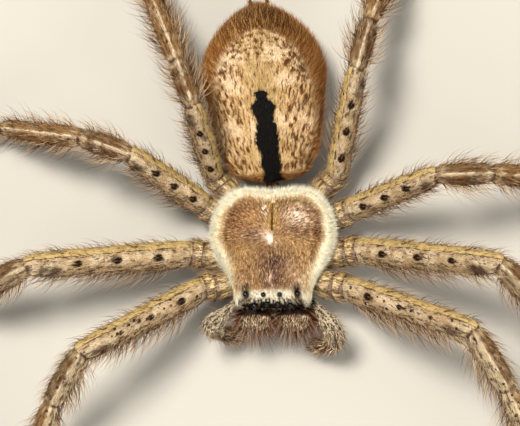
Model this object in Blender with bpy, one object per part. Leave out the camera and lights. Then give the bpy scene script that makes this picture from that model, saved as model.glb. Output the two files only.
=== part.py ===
"""A huntsman spider at rest, life size, as one still model in named solid pieces.

The head points along -Y and the back faces +Z. Sizes are in millimetres until a mesh is made.
The carapace, sternum, jaws, feelers and coxae are laid out in the body's own frame, which is
pitched nose up on the floor. Each leg is then a chain of real segment lengths with a heading,
counted forward of straight out to the side, and a pitch, counted up from the floor.
"""

import math
import random

import bmesh
import bpy
from mathutils import Matrix, Vector

MM = 0.001
GAP = 0.3
EYE_GAP = 0.12

# Stance of the body
BODY_HEIGHT = 7.6
BODY_PITCH = 12.0
BODY_ROLL = 4.5
BODY_ASIDE = 0.12
ABDOMEN_YAW = 4.5
ABDOMEN_ROLL = 4.0

# Carapace, in the body's frame, with the margin at height 0
CARAPACE_OUTLINE = (
    (0.0, 6.45), (2.1, 6.7), (4.0, 6.55), (5.6, 5.6), (6.75, 3.8), (7.2, 1.5), (7.0, -0.2),
    (6.45, -1.6), (5.65, -2.9), (4.95, -4.1), (4.5, -5.2), (4.3, -6.2), (3.9, -7.05),
    (2.5, -7.4), (0.0, -7.5),
)
CARAPACE_CENTRE = -0.4
CARAPACE_CROWN = (
    (-7.5, 2.2), (-6.3, 2.75), (-5.0, 3.05), (-3.0, 3.25), (-0.5, 3.1), (1.5, 2.95),
    (3.5, 2.45), (5.0, 1.9), (6.7, 1.2),
)
CARAPACE_SHARES = (0.2, 0.4, 0.58, 0.73, 0.85, 0.94, 1.0)
CARAPACE_AROUND = 36
MARGIN_THICKNESS = 0.35
CORE_WIDTH, CORE_LENGTH, CORE_DEPTH = 5.0, 8.2, 2.7

# Eyes, as (name, distance from the midline, place along the body, radius)
EYES = (
    ("posterior_median", 0.9, -6.08, 0.28),
    ("posterior_lateral", 2.85, -6.0, 0.32),
    ("anterior_median", 0.62, -6.98, 0.31),
    ("anterior_lateral", 1.98, -7.1, 0.36),
)
EYE_SUNK = 0.08

# Sternum with the labium in front of it
STERNUM_OUTLINE = (
    (0.0, 4.1), (0.8, 3.6), (2.3, 2.0), (3.05, 0.0), (3.0, -2.2), (2.2, -3.5),
    (1.0, -3.75), (0.85, -4.9), (0.0, -5.1),
)
STERNUM_TOP, STERNUM_THICKNESS = -3.05, 0.6

# Jaws
CHELICERA_CENTRE = (2.45, -7.45, -3.55)
CHELICERA_HALF_WIDTH, CHELICERA_FRONT, CHELICERA_REAR, CHELICERA_HALF_HEIGHT = 2.2, 1.9, 1.2, 3.1
CHELICERA_FULLNESS = 0.7
CHELICERA_SPLAY = 4.0
FANG_LENGTH, FANG_RADIUS = 3.6, 0.45

# Abdomen, from its front to its rear: share of length, half width, top, bottom
ABDOMEN_FRONT = 6.95
ABDOMEN_LENGTH = 20.3
ABDOMEN_LEVEL = 6.5
ABDOMEN_STATIONS = (
    (0.0, 0.0, 0.0, 0.0), (0.03, 3.6, 2.2, -2.3), (0.09, 4.75, 3.1, -3.0), (0.2, 5.75, 3.9, -3.4),
    (0.35, 6.45, 4.5, -4.1), (0.5, 6.95, 4.8, -4.5), (0.63, 7.2, 4.8, -4.6), (0.75, 6.6, 4.4, -4.3),
    (0.86, 5.1, 3.5, -3.5), (0.94, 3.3, 2.3, -2.5), (0.985, 1.6, 1.1, -1.4), (1.0, 0.0, -0.2, -0.2),
)
ABDOMEN_RINGS, ABDOMEN_AROUND = 19, 26

# Spinnerets below the abdomen's rear: (distance from the midline, share of length, length, radius)
SPINNERETS = ((0.55, 0.93, 1.9, 0.42), (0.75, 0.97, 1.8, 0.34), (0.0, 0.9, 1.1, 0.3))

# Waist: half width and half depth, height against the abdomen's axis, room at either end
PEDICEL_SIZE, PEDICEL_LEVEL, PEDICEL_CLEAR = (0.85, 0.5), -1.45, 0.3

# Leg segments: length and radius from the back of the leg to its underside
SEGMENTS = {
    "I": {"coxa": (4.6, 1.6), "femur": (17.5, 1.48), "patella": (8.2, 1.32),
          "tibia": (16.0, 1.24), "metatarsus": (15.0, 0.9), "tarsus": (4.6, 0.76)},
    "II": {"coxa": (5.6, 1.66), "femur": (19.4, 1.6), "patella": (8.8, 1.4),
           "tibia": (17.4, 1.3), "metatarsus": (16.0, 0.94), "tarsus": (4.8, 0.78)},
    "III": {"coxa": (5.3, 1.54), "femur": (14.0, 1.42), "patella": (6.4, 1.26),
            "tibia": (12.0, 1.2), "metatarsus": (11.0, 0.82), "tarsus": (4.0, 0.72)},
    "IV": {"coxa": (5.8, 1.36), "femur": (15.5, 1.34), "patella": (6.5, 1.2),
           "tibia": (13.4, 1.14), "metatarsus": (12.6, 0.82), "tarsus": (4.2, 0.72)},
}
SIDE_FLATNESS = 0.86
TROCHANTER_LENGTH = 1.5
# Where each coxa leaves the body, in the body's frame
COXA_ROOTS = {"I": (3.45, -3.65), "II": (3.85, -1.0), "III": (3.65, 1.9), "IV": (2.75, 4.3)}
COXA_LEVEL = -2.15
# Radius along a segment, as (share of its length, share of its radius)
PROFILES = {
    "coxa": ((0.0, 0.7), (0.4, 0.86), (0.8, 1.0), (1.0, 0.94)),
    "trochanter": ((0.5, 1.03), (1.0, 0.9)),
    "femur": ((0.0, 0.9), (0.09, 1.02), (0.32, 1.03), (0.62, 0.98), (0.86, 0.92), (1.0, 0.78)),
    "patella": ((0.0, 0.74), (0.22, 0.97), (0.7, 1.0), (1.0, 0.84)),
    "tibia": ((0.0, 0.82), (0.15, 0.98), (0.55, 0.96), (0.88, 0.84), (1.0, 0.7)),
    "metatarsus": ((0.0, 0.88), (0.14, 1.0), (0.6, 0.9), (0.92, 0.8), (1.0, 0.78)),
    "tarsus": ((0.2, 0.95), (0.55, 1.08), (0.88, 1.02), (1.0, 0.62)),
}
# Pose of each leg: headings of coxa, femur, patella, tibia, metatarsus and tarsus, then
# pitches of femur, patella and tibia, all in degrees
POSES = {
    ("left", "I"): ((11, 18, 58, 64, 72, 76), (37, -24, -31)),
    ("left", "II"): ((-7, 5, 42, 48, 56, 60), (41, -32, -30)),
    ("left", "III"): ((-26, -23, -2, 4, 12, 16), (45, -17, -38)),
    ("left", "IV"): ((-42, -81, -74, -68, -60, -56), (41, -31, -32)),
    ("right", "I"): ((9, 27, 59, 70, 77, 80), (33, -35, -26)),
    ("right", "II"): ((-6, 4, 26, 34, 43, 48), (24, -34, -18)),
    ("right", "III"): ((-37, -35, -19, -8, 2, 7), (46, -27, -37)),
    ("right", "IV"): ((-45, -75, -70, -68, -60, -56), (60, -37, -38)),
}
SIDES = {"left": 1, "right": -1}
FOOT_SINK = 0.62
FOOT_SLOPE = 4.0
LEG_TWIST = 58.0

# Feelers: hip and trochanter in the body's frame, for the left side, then the far ends of
# femur, tibia and tarsus in the room
PALP_HIP, PALP_TROCHANTER = (2.8, -4.9, -3.4), (3.95, -5.6, -2.75)
PALP_JOINTS = {
    "left": ((6.7, -9.1, 8.7), (7.2, -11.2, 5.5), (4.35, -11.6, 2.2)),
    "right": ((-6.7, -8.85, 8.6), (-6.05, -10.0, 4.95), (-3.3, -10.6, 1.6)),
}
PALP_PROFILES = {
    "trochanter": ((0.0, 0.42), (0.5, 0.48), (1.0, 0.48)),
    "femur": ((0.15, 0.5), (0.5, 0.64), (0.85, 1.15), (1.0, 1.06)),
    "tibia": ((0.0, 1.02), (0.2, 1.1), (0.6, 1.06), (1.0, 0.84)),
    "tarsus": ((0.4, 0.84), (0.8, 0.68), (1.0, 0.38)),
}
ENDITE_BACK, ENDITE_FRONT, ENDITE_RADIUS = (2.7, -4.35, -3.4), (1.8, -5.35, -3.9), 0.65

# Spines, as (share along, degrees round from the leg's back, length), set on three segments
SPINE_ROWS = {
    "femur": ((0.23, 68, 2.3), (0.48, 68, 2.5), (0.72, 68, 2.4), (0.36, 12, 2.2), (0.8, 8, 2.2),
              (0.4, -70, 2.4), (0.7, -70, 2.4)),
    "tibia": ((0.2, 75, 2.6), (0.62, 75, 2.8), (0.3, -75, 2.6), (0.7, -75, 2.6),
              (0.25, 160, 3.1), (0.6, -160, 3.1)),
    "metatarsus": ((0.14, 80, 2.7), (0.5, 80, 2.6), (0.14, -80, 2.7), (0.3, 165, 2.9)),
}
SPINE_RADIUS = 0.26
SPINE_LIE = 30.0
SPINE_SIDES = 5

# Long hair as flat tufts, in rows along a segment: degrees round from the leg's back, number
# of tufts, where the row starts and ends, and the tufts' length
FRONT_FRINGE, REAR_FRINGE = 150, -28
FRINGES = {
    "I": {
        "femur": ((FRONT_FRINGE, 6, 0.3, 0.84, 3.3),),
        "patella": ((FRONT_FRINGE, 3, 0.25, 0.75, 3.0),),
        "tibia": ((FRONT_FRINGE, 5, 0.08, 0.82, 3.0), (REAR_FRINGE, 3, 0.2, 0.75, 2.0)),
        "metatarsus": ((FRONT_FRINGE, 3, 0.1, 0.6, 1.8),),
    },
    "II": {
        "femur": ((FRONT_FRINGE, 6, 0.25, 0.86, 2.0),),
        "patella": ((FRONT_FRINGE, 3, 0.25, 0.78, 2.2),),
        "tibia": ((FRONT_FRINGE, 5, 0.08, 0.82, 2.3),),
        "metatarsus": ((FRONT_FRINGE, 3, 0.1, 0.6, 1.7),),
    },
    "III": {
        "femur": ((FRONT_FRINGE, 4, 0.35, 0.86, 1.8), (REAR_FRINGE, 2, 0.5, 0.82, 1.5)),
        "patella": ((FRONT_FRINGE, 2, 0.3, 0.7, 2.0), (REAR_FRINGE, 2, 0.3, 0.7, 1.8)),
        "tibia": ((FRONT_FRINGE, 4, 0.08, 0.82, 2.2), (REAR_FRINGE, 3, 0.15, 0.75, 1.9)),
        "metatarsus": ((FRONT_FRINGE, 2, 0.1, 0.5, 1.6),),
    },
    "IV": {
        "femur": ((FRONT_FRINGE, 4, 0.35, 0.86, 1.8),),
        "patella": ((FRONT_FRINGE, 2, 0.3, 0.7, 2.2), (REAR_FRINGE, 2, 0.3, 0.7, 2.2)),
        "tibia": ((FRONT_FRINGE, 4, 0.08, 0.82, 2.3), (REAR_FRINGE, 3, 0.15, 0.8, 2.3)),
        "metatarsus": ((FRONT_FRINGE, 2, 0.1, 0.5, 1.7), (REAR_FRINGE, 2, 0.1, 0.5, 1.7)),
    },
}
TUFT_WIDTH, TUFT_THICKNESS, TUFT_ROOT = 0.85, 0.5, 0.45
TUFT_VARIATION, TUFT_SEED = 0.14, 7
FLOOR_CLEAR = 0.4
# Tufts on the front of each jaw, as (share across, share down) of its face
JAW_TUFTS = ((-0.5, 0.2), (0.0, 0.3), (0.5, 0.2), (-0.3, 0.6), (0.3, 0.6))
JAW_TUFT_LENGTH = 1.9

# Finish of each kind of piece: colour, roughness
FINISHES = {
    "carapace_coat": ((0.42, 0.27, 0.16), 0.75),
    "abdomen_coat": ((0.62, 0.47, 0.30), 0.8),
    "leg_coat": ((0.55, 0.45, 0.30), 0.75),
    "underside": ((0.25, 0.16, 0.10), 0.7),
    "eye": ((0.01, 0.008, 0.008), 0.08),
    "fang": ((0.03, 0.012, 0.01), 0.2),
}

PARTS = "huntsman_spider"
HELPERS = "cutters_and_roots"


def clear_scene():
    """Empties the file and makes the two collections."""
    for old in list(bpy.data.objects):
        bpy.data.objects.remove(old)
    for name in (PARTS, HELPERS):
        bpy.context.scene.collection.children.link(bpy.data.collections.new(name))


def make_materials():
    """One plain material for each finish."""
    made = {}
    for name, (colour, roughness) in FINISHES.items():
        material = bpy.data.materials.new(name)
        material.use_nodes = True
        shader = material.node_tree.nodes["Principled BSDF"]
        shader.inputs["Base Color"].default_value = (*colour, 1.0)
        shader.inputs["Roughness"].default_value = roughness
        shader.inputs["Metallic"].default_value = 0.0
        made[name] = material
    return made


def blend_between(stations, at, column=1):
    """A smooth value read from rows whose first number is the place."""
    if at <= stations[0][0]:
        return stations[0][column]
    if at >= stations[-1][0]:
        return stations[-1][column]
    here = max(i for i in range(len(stations) - 1) if stations[i][0] <= at)
    rows = [stations[min(max(i, 0), len(stations) - 1)] for i in range(here - 1, here + 3)]
    places = [row[0] for row in rows]
    values = [row[column] for row in rows]
    span = places[2] - places[1]
    share = (at - places[1]) / span
    slope_in = (values[2] - values[0]) / max(places[2] - places[0], 1e-9) * span
    slope_out = (values[3] - values[1]) / max(places[3] - places[1], 1e-9) * span
    square, cube = share**2, share**3
    return (
        values[1] * (2 * cube - 3 * square + 1)
        + slope_in * (cube - 2 * square + share)
        + values[2] * (3 * square - 2 * cube)
        + slope_out * (cube - square)
    )


def body_frame():
    """The matrix that sets the pitched and rolled body above the floor."""
    return (
        Matrix.Translation((BODY_ASIDE, 0.0, BODY_HEIGHT))
        @ Matrix.Rotation(math.radians(-BODY_PITCH), 4, "X")
        @ Matrix.Rotation(math.radians(-BODY_ROLL), 4, "Y")
    )


def abdomen_frame():
    """The matrix that swings the abdomen about the pedicel."""
    return (
        Matrix.Translation((0.0, ABDOMEN_FRONT, ABDOMEN_LEVEL))
        @ Matrix.Rotation(math.radians(ABDOMEN_YAW), 4, "Z")
        @ Matrix.Rotation(math.radians(-ABDOMEN_ROLL), 4, "Y")
    )


def object_from(name, mesh_tools, material, frame=None, collection=PARTS):
    """Turns a bmesh in millimetres into a named object in metres."""
    if frame is not None:
        bmesh.ops.transform(mesh_tools, matrix=frame, verts=mesh_tools.verts)
    bmesh.ops.scale(mesh_tools, vec=(MM, MM, MM), verts=mesh_tools.verts)
    bmesh.ops.recalc_face_normals(mesh_tools, faces=mesh_tools.faces)
    mesh = bpy.data.meshes.new(name)
    mesh_tools.to_mesh(mesh)
    mesh_tools.free()
    mesh.shade_smooth()
    mesh.set_sharp_from_angle(angle=math.radians(50))
    made = bpy.data.objects.new(name, mesh)
    if material is not None:
        mesh.materials.append(material)
    bpy.data.collections[collection].objects.link(made)
    return made


def loft(rings, pole_start=None, pole_end=None):
    """A closed body through unlike rings, ended by flat caps or by single points."""
    tools = bmesh.new()
    made = [[tools.verts.new(point) for point in ring] for ring in rings]
    for first, second in zip(made, made[1:]):
        for i, corner in enumerate(first):
            after = (i + 1) % len(first)
            tools.faces.new((corner, first[after], second[after], second[i]))
    for ring, pole in ((made[0], pole_start), (made[-1], pole_end)):
        if pole is None:
            tools.faces.new(ring)
            continue
        tip = tools.verts.new(pole)
        for i, corner in enumerate(ring):
            tools.faces.new((corner, ring[(i + 1) % len(ring)], tip))
    return tools


def keep_largest(mesh):
    """Drops every closed surface but the largest."""
    tools = bmesh.new()
    tools.from_mesh(mesh)
    left = set(tools.verts)
    groups = []
    while left:
        group, front = set(), [left.pop()]
        while front:
            vertex = front.pop()
            group.add(vertex)
            for edge in vertex.link_edges:
                other = edge.other_vert(vertex)
                if other in left:
                    left.discard(other)
                    front.append(other)
        groups.append(group)
    largest = max(groups, key=len)
    spare = [vertex for group in groups if group is not largest for vertex in group]
    bmesh.ops.delete(tools, geom=spare, context="VERTS")
    tools.to_mesh(mesh)
    tools.free()


def combine(base, others, operation="UNION"):
    """Joins closed objects to the base, or cuts them from it, and removes them."""
    tools = bpy.data.collections.new("boolean_pieces")
    bpy.context.scene.collection.children.link(tools)
    for other in others:
        for held in list(other.users_collection):
            held.objects.unlink(other)
        tools.objects.link(other)
    modifier = base.modifiers.new("combine", "BOOLEAN")
    modifier.operation = operation
    modifier.operand_type = "COLLECTION"
    modifier.collection = tools
    modifier.solver = "EXACT"
    graph = bpy.context.evaluated_depsgraph_get()
    result = bpy.data.meshes.new_from_object(base.evaluated_get(graph))
    base.modifiers.clear()
    base.data = result
    for other in others:
        bpy.data.objects.remove(other)
    bpy.data.collections.remove(tools)
    keep_largest(result)
    result.shade_smooth()
    result.set_sharp_from_angle(angle=math.radians(50))
    return base


def carapace_outline(count):
    """Points round the carapace's margin, evenly spaced, from the rear midline."""
    dense = []
    rows = [(i, *point) for i, point in enumerate(CARAPACE_OUTLINE)]
    steps = 12 * (len(rows) - 1)
    for step in range(steps + 1):
        place = step / 12
        dense.append(Vector((blend_between(rows, place, 1), blend_between(rows, place, 2))))
    lengths = [0.0]
    for first, second in zip(dense, dense[1:]):
        lengths.append(lengths[-1] + (second - first).length)
    half = []
    for i in range(count // 2 + 1):
        wanted = lengths[-1] * i / (count // 2)
        here = max(k for k in range(len(lengths) - 1) if lengths[k] <= wanted + 1e-9)
        share = (wanted - lengths[here]) / (lengths[here + 1] - lengths[here])
        half.append(dense[here].lerp(dense[here + 1], share))
    mirrored = [Vector((-point.x, point.y)) for point in reversed(half[1:-1])]
    return half + mirrored


def carapace_height(along, share):
    """Height above the margin at a place along the body and a share of the way out to it."""
    frontness = min(max((-along - 2.5) / 3.0, 0.0), 1.0)
    fullness = 2.6 + 7.0 * frontness
    return blend_between(CARAPACE_CROWN, along) * (1.0 - min(share, 1.0) ** fullness) ** (
        0.75 - 0.15 * frontness
    )


def carapace_share(across, along, outline):
    """How far out a point lies, as a share of the way from the centre to the margin."""
    point = Vector((across, along - CARAPACE_CENTRE))
    for first, second in zip(outline, outline[1:] + outline[:1]):
        start = Vector((first.x, first.y - CARAPACE_CENTRE))
        side = Vector((second.x, second.y - CARAPACE_CENTRE)) - start
        across_side = point.x * side.y - point.y * side.x
        if abs(across_side) < 1e-9:
            continue
        reach = (start.x * side.y - start.y * side.x) / across_side
        place = (start.x * point.y - start.y * point.x) / across_side
        if reach > 0 and -1e-6 <= place <= 1 + 1e-6:
            return 1.0 / reach
    return 0.0


def eye_places():
    """The centre and radius of each eye, in the body's frame, on the carapace."""
    outline = carapace_outline(CARAPACE_AROUND)
    placed = {}
    for side, sign in SIDES.items():
        for name, across, along, radius in EYES:
            height = carapace_height(along, carapace_share(across, along, outline))
            centre = Vector((sign * across, along, height - EYE_SUNK))
            placed[f"eye_{name}_{side}"] = (centre, radius)
    return placed


def ball(centre, radius, segments, rings):
    """A sphere as a bmesh."""
    tools = bmesh.new()
    bmesh.ops.create_uvsphere(tools, u_segments=segments, v_segments=rings, radius=radius)
    bmesh.ops.translate(tools, vec=centre, verts=tools.verts)
    return tools


def build_carapace(materials):
    """The domed shield over the head and chest, with the chest's core below it."""
    outline = carapace_outline(CARAPACE_AROUND)
    rings = []
    for share in CARAPACE_SHARES:
        ring = []
        for point in outline:
            along = CARAPACE_CENTRE + (point.y - CARAPACE_CENTRE) * share
            ring.append(Vector((point.x * share, along, carapace_height(along, share))))
        rings.append(ring)
    rings.append([Vector((point.x * 0.985, point.y * 0.985, -MARGIN_THICKNESS)) for point in outline])
    for depth, shrink in ((-MARGIN_THICKNESS, 1.0), (-CORE_DEPTH, 0.9)):
        ring = []
        for point in outline:
            angle = math.atan2(point.x, point.y - CARAPACE_CENTRE)
            across = CORE_WIDTH / 2 * shrink * math.sin(angle)
            along = CORE_LENGTH / 2 * shrink * math.cos(angle)
            ring.append(Vector((across, along, depth)))
        rings.append(ring)
    peak = Vector((0.0, CARAPACE_CENTRE, carapace_height(CARAPACE_CENTRE, 0.0)))
    shell = object_from("carapace", loft(rings, pole_start=peak), materials["carapace_coat"], body_frame())
    sockets = []
    for name, (centre, radius) in eye_places().items():
        tools = ball(centre, radius + EYE_GAP, 9, 6)
        sockets.append(object_from("socket_" + name, tools, None, body_frame(), HELPERS))
    combine(shell, sockets, "DIFFERENCE")


def build_eyes(materials):
    """Eight round eyes, each in its own socket."""
    for name, (centre, radius) in eye_places().items():
        object_from(name, ball(centre, radius, 10, 7), materials["eye"], body_frame())


def build_sternum(materials):
    """The heart-shaped plate under the chest, with the labium as its front tongue."""
    right = [Vector((x, y, 0.0)) for x, y in STERNUM_OUTLINE]
    around = right + [Vector((-p.x, p.y, 0.0)) for p in reversed(right[1:-1])]
    rings = []
    for depth, shrink in ((0.0, 0.96), (-0.6 * STERNUM_THICKNESS, 1.0), (-STERNUM_THICKNESS, 0.9)):
        rings.append([Vector((p.x * shrink, p.y * shrink, STERNUM_TOP + depth)) for p in around])
    object_from("sternum", loft(rings), materials["underside"], body_frame())


def chelicera_point(point):
    """Turns a point of a unit ball into a point of a jaw, about the jaw's middle."""
    across_share, along_share, fall = point
    fullness = max(math.hypot(across_share, along_share), 1e-6) ** (CHELICERA_FULLNESS - 1.0)
    across_share, along_share = across_share * fullness, along_share * fullness
    knee = 1.0 + 0.12 * math.sin(math.pi * max(fall, 0.0))
    taper = 1.0 - 0.3 * max(-fall, 0.0) ** 1.5
    depth = CHELICERA_FRONT * knee if along_share < 0 else CHELICERA_REAR
    return Vector((
        across_share * CHELICERA_HALF_WIDTH * taper,
        along_share * depth * taper,
        fall * CHELICERA_HALF_HEIGHT,
    ))


def build_chelicerae(materials):
    """Two stout jaws under the front edge, each with its fang folded against it."""
    across, along, level = CHELICERA_CENTRE
    for side, sign in SIDES.items():
        turn = (
            body_frame()
            @ Matrix.Translation((sign * across, along, level))
            @ Matrix.Rotation(math.radians(sign * -CHELICERA_SPLAY), 4, "Y")
        )
        tools = ball((0, 0, 0), 1.0, 16, 12)
        for vertex in tools.verts:
            vertex.co = chelicera_point(vertex.co)
        jaw = object_from(f"chelicera_{side}", tools, materials["leg_coat"], turn)
        down = Vector((0.0, -0.15, -1.0)).normalized()
        tufts = []
        for across_share, fall_share in JAW_TUFTS:
            on_ball = Vector((across_share, -math.sqrt(1.0 - across_share**2 - fall_share**2), -fall_share))
            outward = Vector((on_ball.x * 0.1, on_ball.y, -0.1)).normalized()
            root = chelicera_point(on_ball) - outward * TUFT_ROOT
            tufts.append(tuft(root, outward, down, JAW_TUFT_LENGTH + TUFT_ROOT, turn))
        combine(jaw, tufts)
        build_fang(side, sign, materials)


def build_fang(side, sign, materials):
    """A curved fang from the jaw's outer end, folded in and back below it."""
    across, along, level = CHELICERA_CENTRE
    start = Vector((sign * (across + 0.75), along + 0.55, level - CHELICERA_HALF_HEIGHT - 0.35))
    rings, sides, steps = [], 8, 6
    for step in range(steps):
        share = step / steps
        bend = share * 1.1
        centre = start + FANG_LENGTH * Vector((
            -sign * math.sin(bend) * 0.62, share * 0.42, -0.13 * math.sin(share * math.pi)
        ))
        heading = Vector((-sign * math.cos(bend) * 0.7, 0.42, -0.1)).normalized()
        side_way = heading.cross(Vector((0, 0, 1))).normalized()
        up_way = side_way.cross(heading)
        radius = FANG_RADIUS * (1.0 - share) ** 0.6
        rings.append([
            centre + radius * (math.cos(a) * side_way + math.sin(a) * up_way)
            for a in (2 * math.pi * k / sides for k in range(sides))
        ])
    tip = start + FANG_LENGTH * Vector((-sign * math.sin(1.1) * 0.62, 0.42, 0.02))
    object_from(f"fang_{side}", loft(rings, pole_end=tip), materials["fang"], body_frame())


def abdomen_point(share, angle):
    """A point of the abdomen's surface: share of length from the front, angle round from +X."""
    width = blend_between(ABDOMEN_STATIONS, share, 1)
    top = blend_between(ABDOMEN_STATIONS, share, 2)
    bottom = blend_between(ABDOMEN_STATIONS, share, 3)
    middle, reach = (top + bottom) / 2, (top - bottom) / 2
    return Vector((width * math.cos(angle), ABDOMEN_LENGTH * share, middle + reach * math.sin(angle)))


def build_abdomen(materials):
    """The egg-shaped abdomen, its outline the tips of its fur, with the spinnerets joined on."""
    rings = []
    for i in range(1, ABDOMEN_RINGS):
        share = (1.0 - math.cos(math.pi * i / ABDOMEN_RINGS)) / 2
        rings.append([
            abdomen_point(share, 2 * math.pi * k / ABDOMEN_AROUND) for k in range(ABDOMEN_AROUND)
        ])
    tools = loft(rings, abdomen_point(0.0, 0.0), abdomen_point(1.0, 0.0))
    body = object_from("abdomen", tools, materials["abdomen_coat"], abdomen_frame())
    nozzles = []
    for across, share, length, radius in SPINNERETS:
        for sign in ((1, -1) if across else (1,)):
            root = abdomen_point(share, -math.pi / 2)
            root = Vector((sign * across, root.y - 0.5, root.z + 0.5))
            way = Vector((sign * 0.12, 0.86, -0.35)).normalized()
            nozzles.append(cone("spinneret", root, way, length, radius, 8, 0.5, abdomen_frame()))
    combine(body, nozzles)


def cone(name, root, way, length, radius, sides, blunt=0.0, frame=None):
    """A tapered spike in a frame, with a middle ring and an optional blunt end."""
    side_way = way.orthogonal().normalized()
    up_way = way.cross(side_way)
    rings = []
    ends = ((0.0, 1.0), (0.5, 0.72), (1.0, blunt)) if blunt else ((0.0, 1.0), (0.5, 0.66))
    for share, swell in ends:
        centre = root + way * length * share
        rings.append([
            centre + radius * swell * (math.cos(a) * side_way + math.sin(a) * up_way)
            for a in (2 * math.pi * k / sides for k in range(sides))
        ])
    tip = None if blunt else root + way * length
    return object_from(name, loft(rings, pole_end=tip), None, frame, HELPERS)


def build_pedicel(materials):
    """The narrow waist between the chest's core and the abdomen."""
    front = Vector((0.0, CORE_LENGTH / 2 + PEDICEL_CLEAR, -1.6))
    back = Vector((0.0, -PEDICEL_CLEAR + 0.36, PEDICEL_LEVEL))
    half_width, half_depth = PEDICEL_SIZE
    rings = []
    for share in (0.0, 0.5, 1.0):
        narrow = 1.0 - 0.2 * math.sin(math.pi * share)
        ring = []
        for k in range(12):
            angle = 2 * math.pi * k / 12
            offset = narrow * Vector((half_width * math.cos(angle), 0.0, half_depth * math.sin(angle)))
            ring.append((body_frame() @ (front + offset)).lerp(abdomen_frame() @ (back + offset), share))
        rings.append(ring)
    object_from("pedicel", loft(rings), materials["underside"])


def direction(sign, heading, pitch):
    """The unit vector of a segment from its heading and pitch."""
    turn, rise = math.radians(heading), math.radians(pitch)
    return Vector((
        sign * math.cos(turn) * math.cos(rise), -math.sin(turn) * math.cos(rise), math.sin(rise)
    ))


def limb_axes(way, sign, twist=LEG_TWIST):
    """The directions of a limb's back and of its front side, turned like a crab's."""
    up = (Vector((0, 0, 1)) - way * way.z).normalized()
    rearward = sign * up.cross(way)
    turn = math.radians(twist)
    back = up * math.cos(turn) + rearward * math.sin(turn)
    front = up * math.sin(turn) - rearward * math.cos(turn)
    return back, front


def joint_normals(points, before=None, after=None):
    """At each point, the normal of the plane that halves the bend there."""
    ways = [(second - first).normalized() for first, second in zip(points, points[1:])]
    starts = [before or ways[0]] + ways
    ends = ways + [after or ways[-1]]
    return [(first + second).normalized() for first, second in zip(starts, ends)]


def limb_rings(points, normals, profiles, radii, sign, around, gaps=(True, True)):
    """Rings along a limb of one or more stretches, cut at its ends by the joints' planes."""
    rings = []
    for number, (start, end) in enumerate(zip(points, points[1:])):
        way = (end - start).normalized()
        length = (end - start).length
        back, front = limb_axes(way, sign)
        near, far = normals[number], normals[number + 1]
        for share, swell in profiles[number]:
            if number and share == 0.0:
                continue
            radius = radii[number] * swell
            centre = start + way * length * share
            if share == 0.0 and gaps[0]:
                centre += way * (GAP / 2) / way.dot(near)
            if share == 1.0 and gaps[1] and number == len(points) - 2:
                centre -= way * (GAP / 2) / way.dot(far)
            reach = 1.6 * radii[number]
            near_share = max(0.0, 1.0 - length * share / reach)
            far_share = max(0.0, 1.0 - length * (1.0 - share) / reach)
            ring = []
            for k in range(around):
                angle = 2 * math.pi * k / around
                offset = radius * (math.cos(angle) * back + SIDE_FLATNESS * math.sin(angle) * front)
                slide = near_share * offset.dot(near) / way.dot(near)
                slide += far_share * offset.dot(far) / way.dot(far)
                ring.append(centre + offset - way * slide)
            rings.append(ring)
    return rings


def profile_radius(name, share, radius):
    """Radius of a segment at a share of its length, straight between its profile's points."""
    rows = PROFILES[name]
    for first, second in zip(rows, rows[1:]):
        if first[0] <= share <= second[0]:
            mix = (share - first[0]) / (second[0] - first[0])
            return radius * (first[1] + (second[1] - first[1]) * mix)
    return radius * rows[-1][1]


def leg_points(side, leg):
    """The joints of a leg from the coxa's root to the tip, with the foot on the floor."""
    sign = SIDES[side]
    headings, pitches = POSES[side, leg]
    sizes = SEGMENTS[leg]
    root_x, root_y = COXA_ROOTS[leg]
    root = body_frame() @ Vector((sign * root_x, root_y, COXA_LEVEL))
    coxa_way = body_frame().to_3x3() @ direction(sign, headings[0], 0.0)
    knuckle = root + coxa_way * (sizes["coxa"][0] - TROCHANTER_LENGTH)
    points = [root, knuckle, root + coxa_way * sizes["coxa"][0]]
    for name, heading, pitch in zip(("femur", "patella", "tibia"), headings[1:4], pitches):
        points.append(points[-1] + direction(sign, heading, pitch) * sizes[name][0])
    tarsus_fall = sizes["tarsus"][0] * math.sin(math.radians(FOOT_SLOPE))
    metatarsus_fall = points[-1].z - FOOT_SINK * sizes["tarsus"][1] - tarsus_fall
    metatarsus_pitch = -math.degrees(math.asin(metatarsus_fall / sizes["metatarsus"][0]))
    points.append(points[-1] + direction(sign, headings[4], metatarsus_pitch) * sizes["metatarsus"][0])
    points.append(points[-1] + direction(sign, headings[5], -FOOT_SLOPE) * sizes["tarsus"][0])
    return points


def skin_point(name, start, end, radius, sign, share, round_angle):
    """A point on a segment's surface, with the way out of it and the way to the foot."""
    way = (end - start).normalized()
    back, front = limb_axes(way, sign)
    turn = math.radians(round_angle)
    outward = math.cos(turn) * back + math.sin(turn) * front
    offset = math.cos(turn) * back + SIDE_FLATNESS * math.sin(turn) * front
    surface = start + (end - start) * share + profile_radius(name, share, radius) * offset
    return surface, outward, way


def spines_on(name, start, end, radius, sign):
    """The stout spines of one segment, rooted in it and leaning towards the foot."""
    lie = math.radians(SPINE_LIE)
    made = []
    for share, round_angle, length in SPINE_ROWS.get(name, ()):
        surface, outward, way = skin_point(name, start, end, radius, sign, share, round_angle)
        lean = (math.cos(lie) * way + math.sin(lie) * outward).normalized()
        root = surface - outward * 0.35 - lean * 0.3
        if (root + lean * (length + 0.5)).z > FLOOR_CLEAR:
            made.append(cone("spine", root, lean, length + 0.5, SPINE_RADIUS, SPINE_SIDES))
    return made


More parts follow.
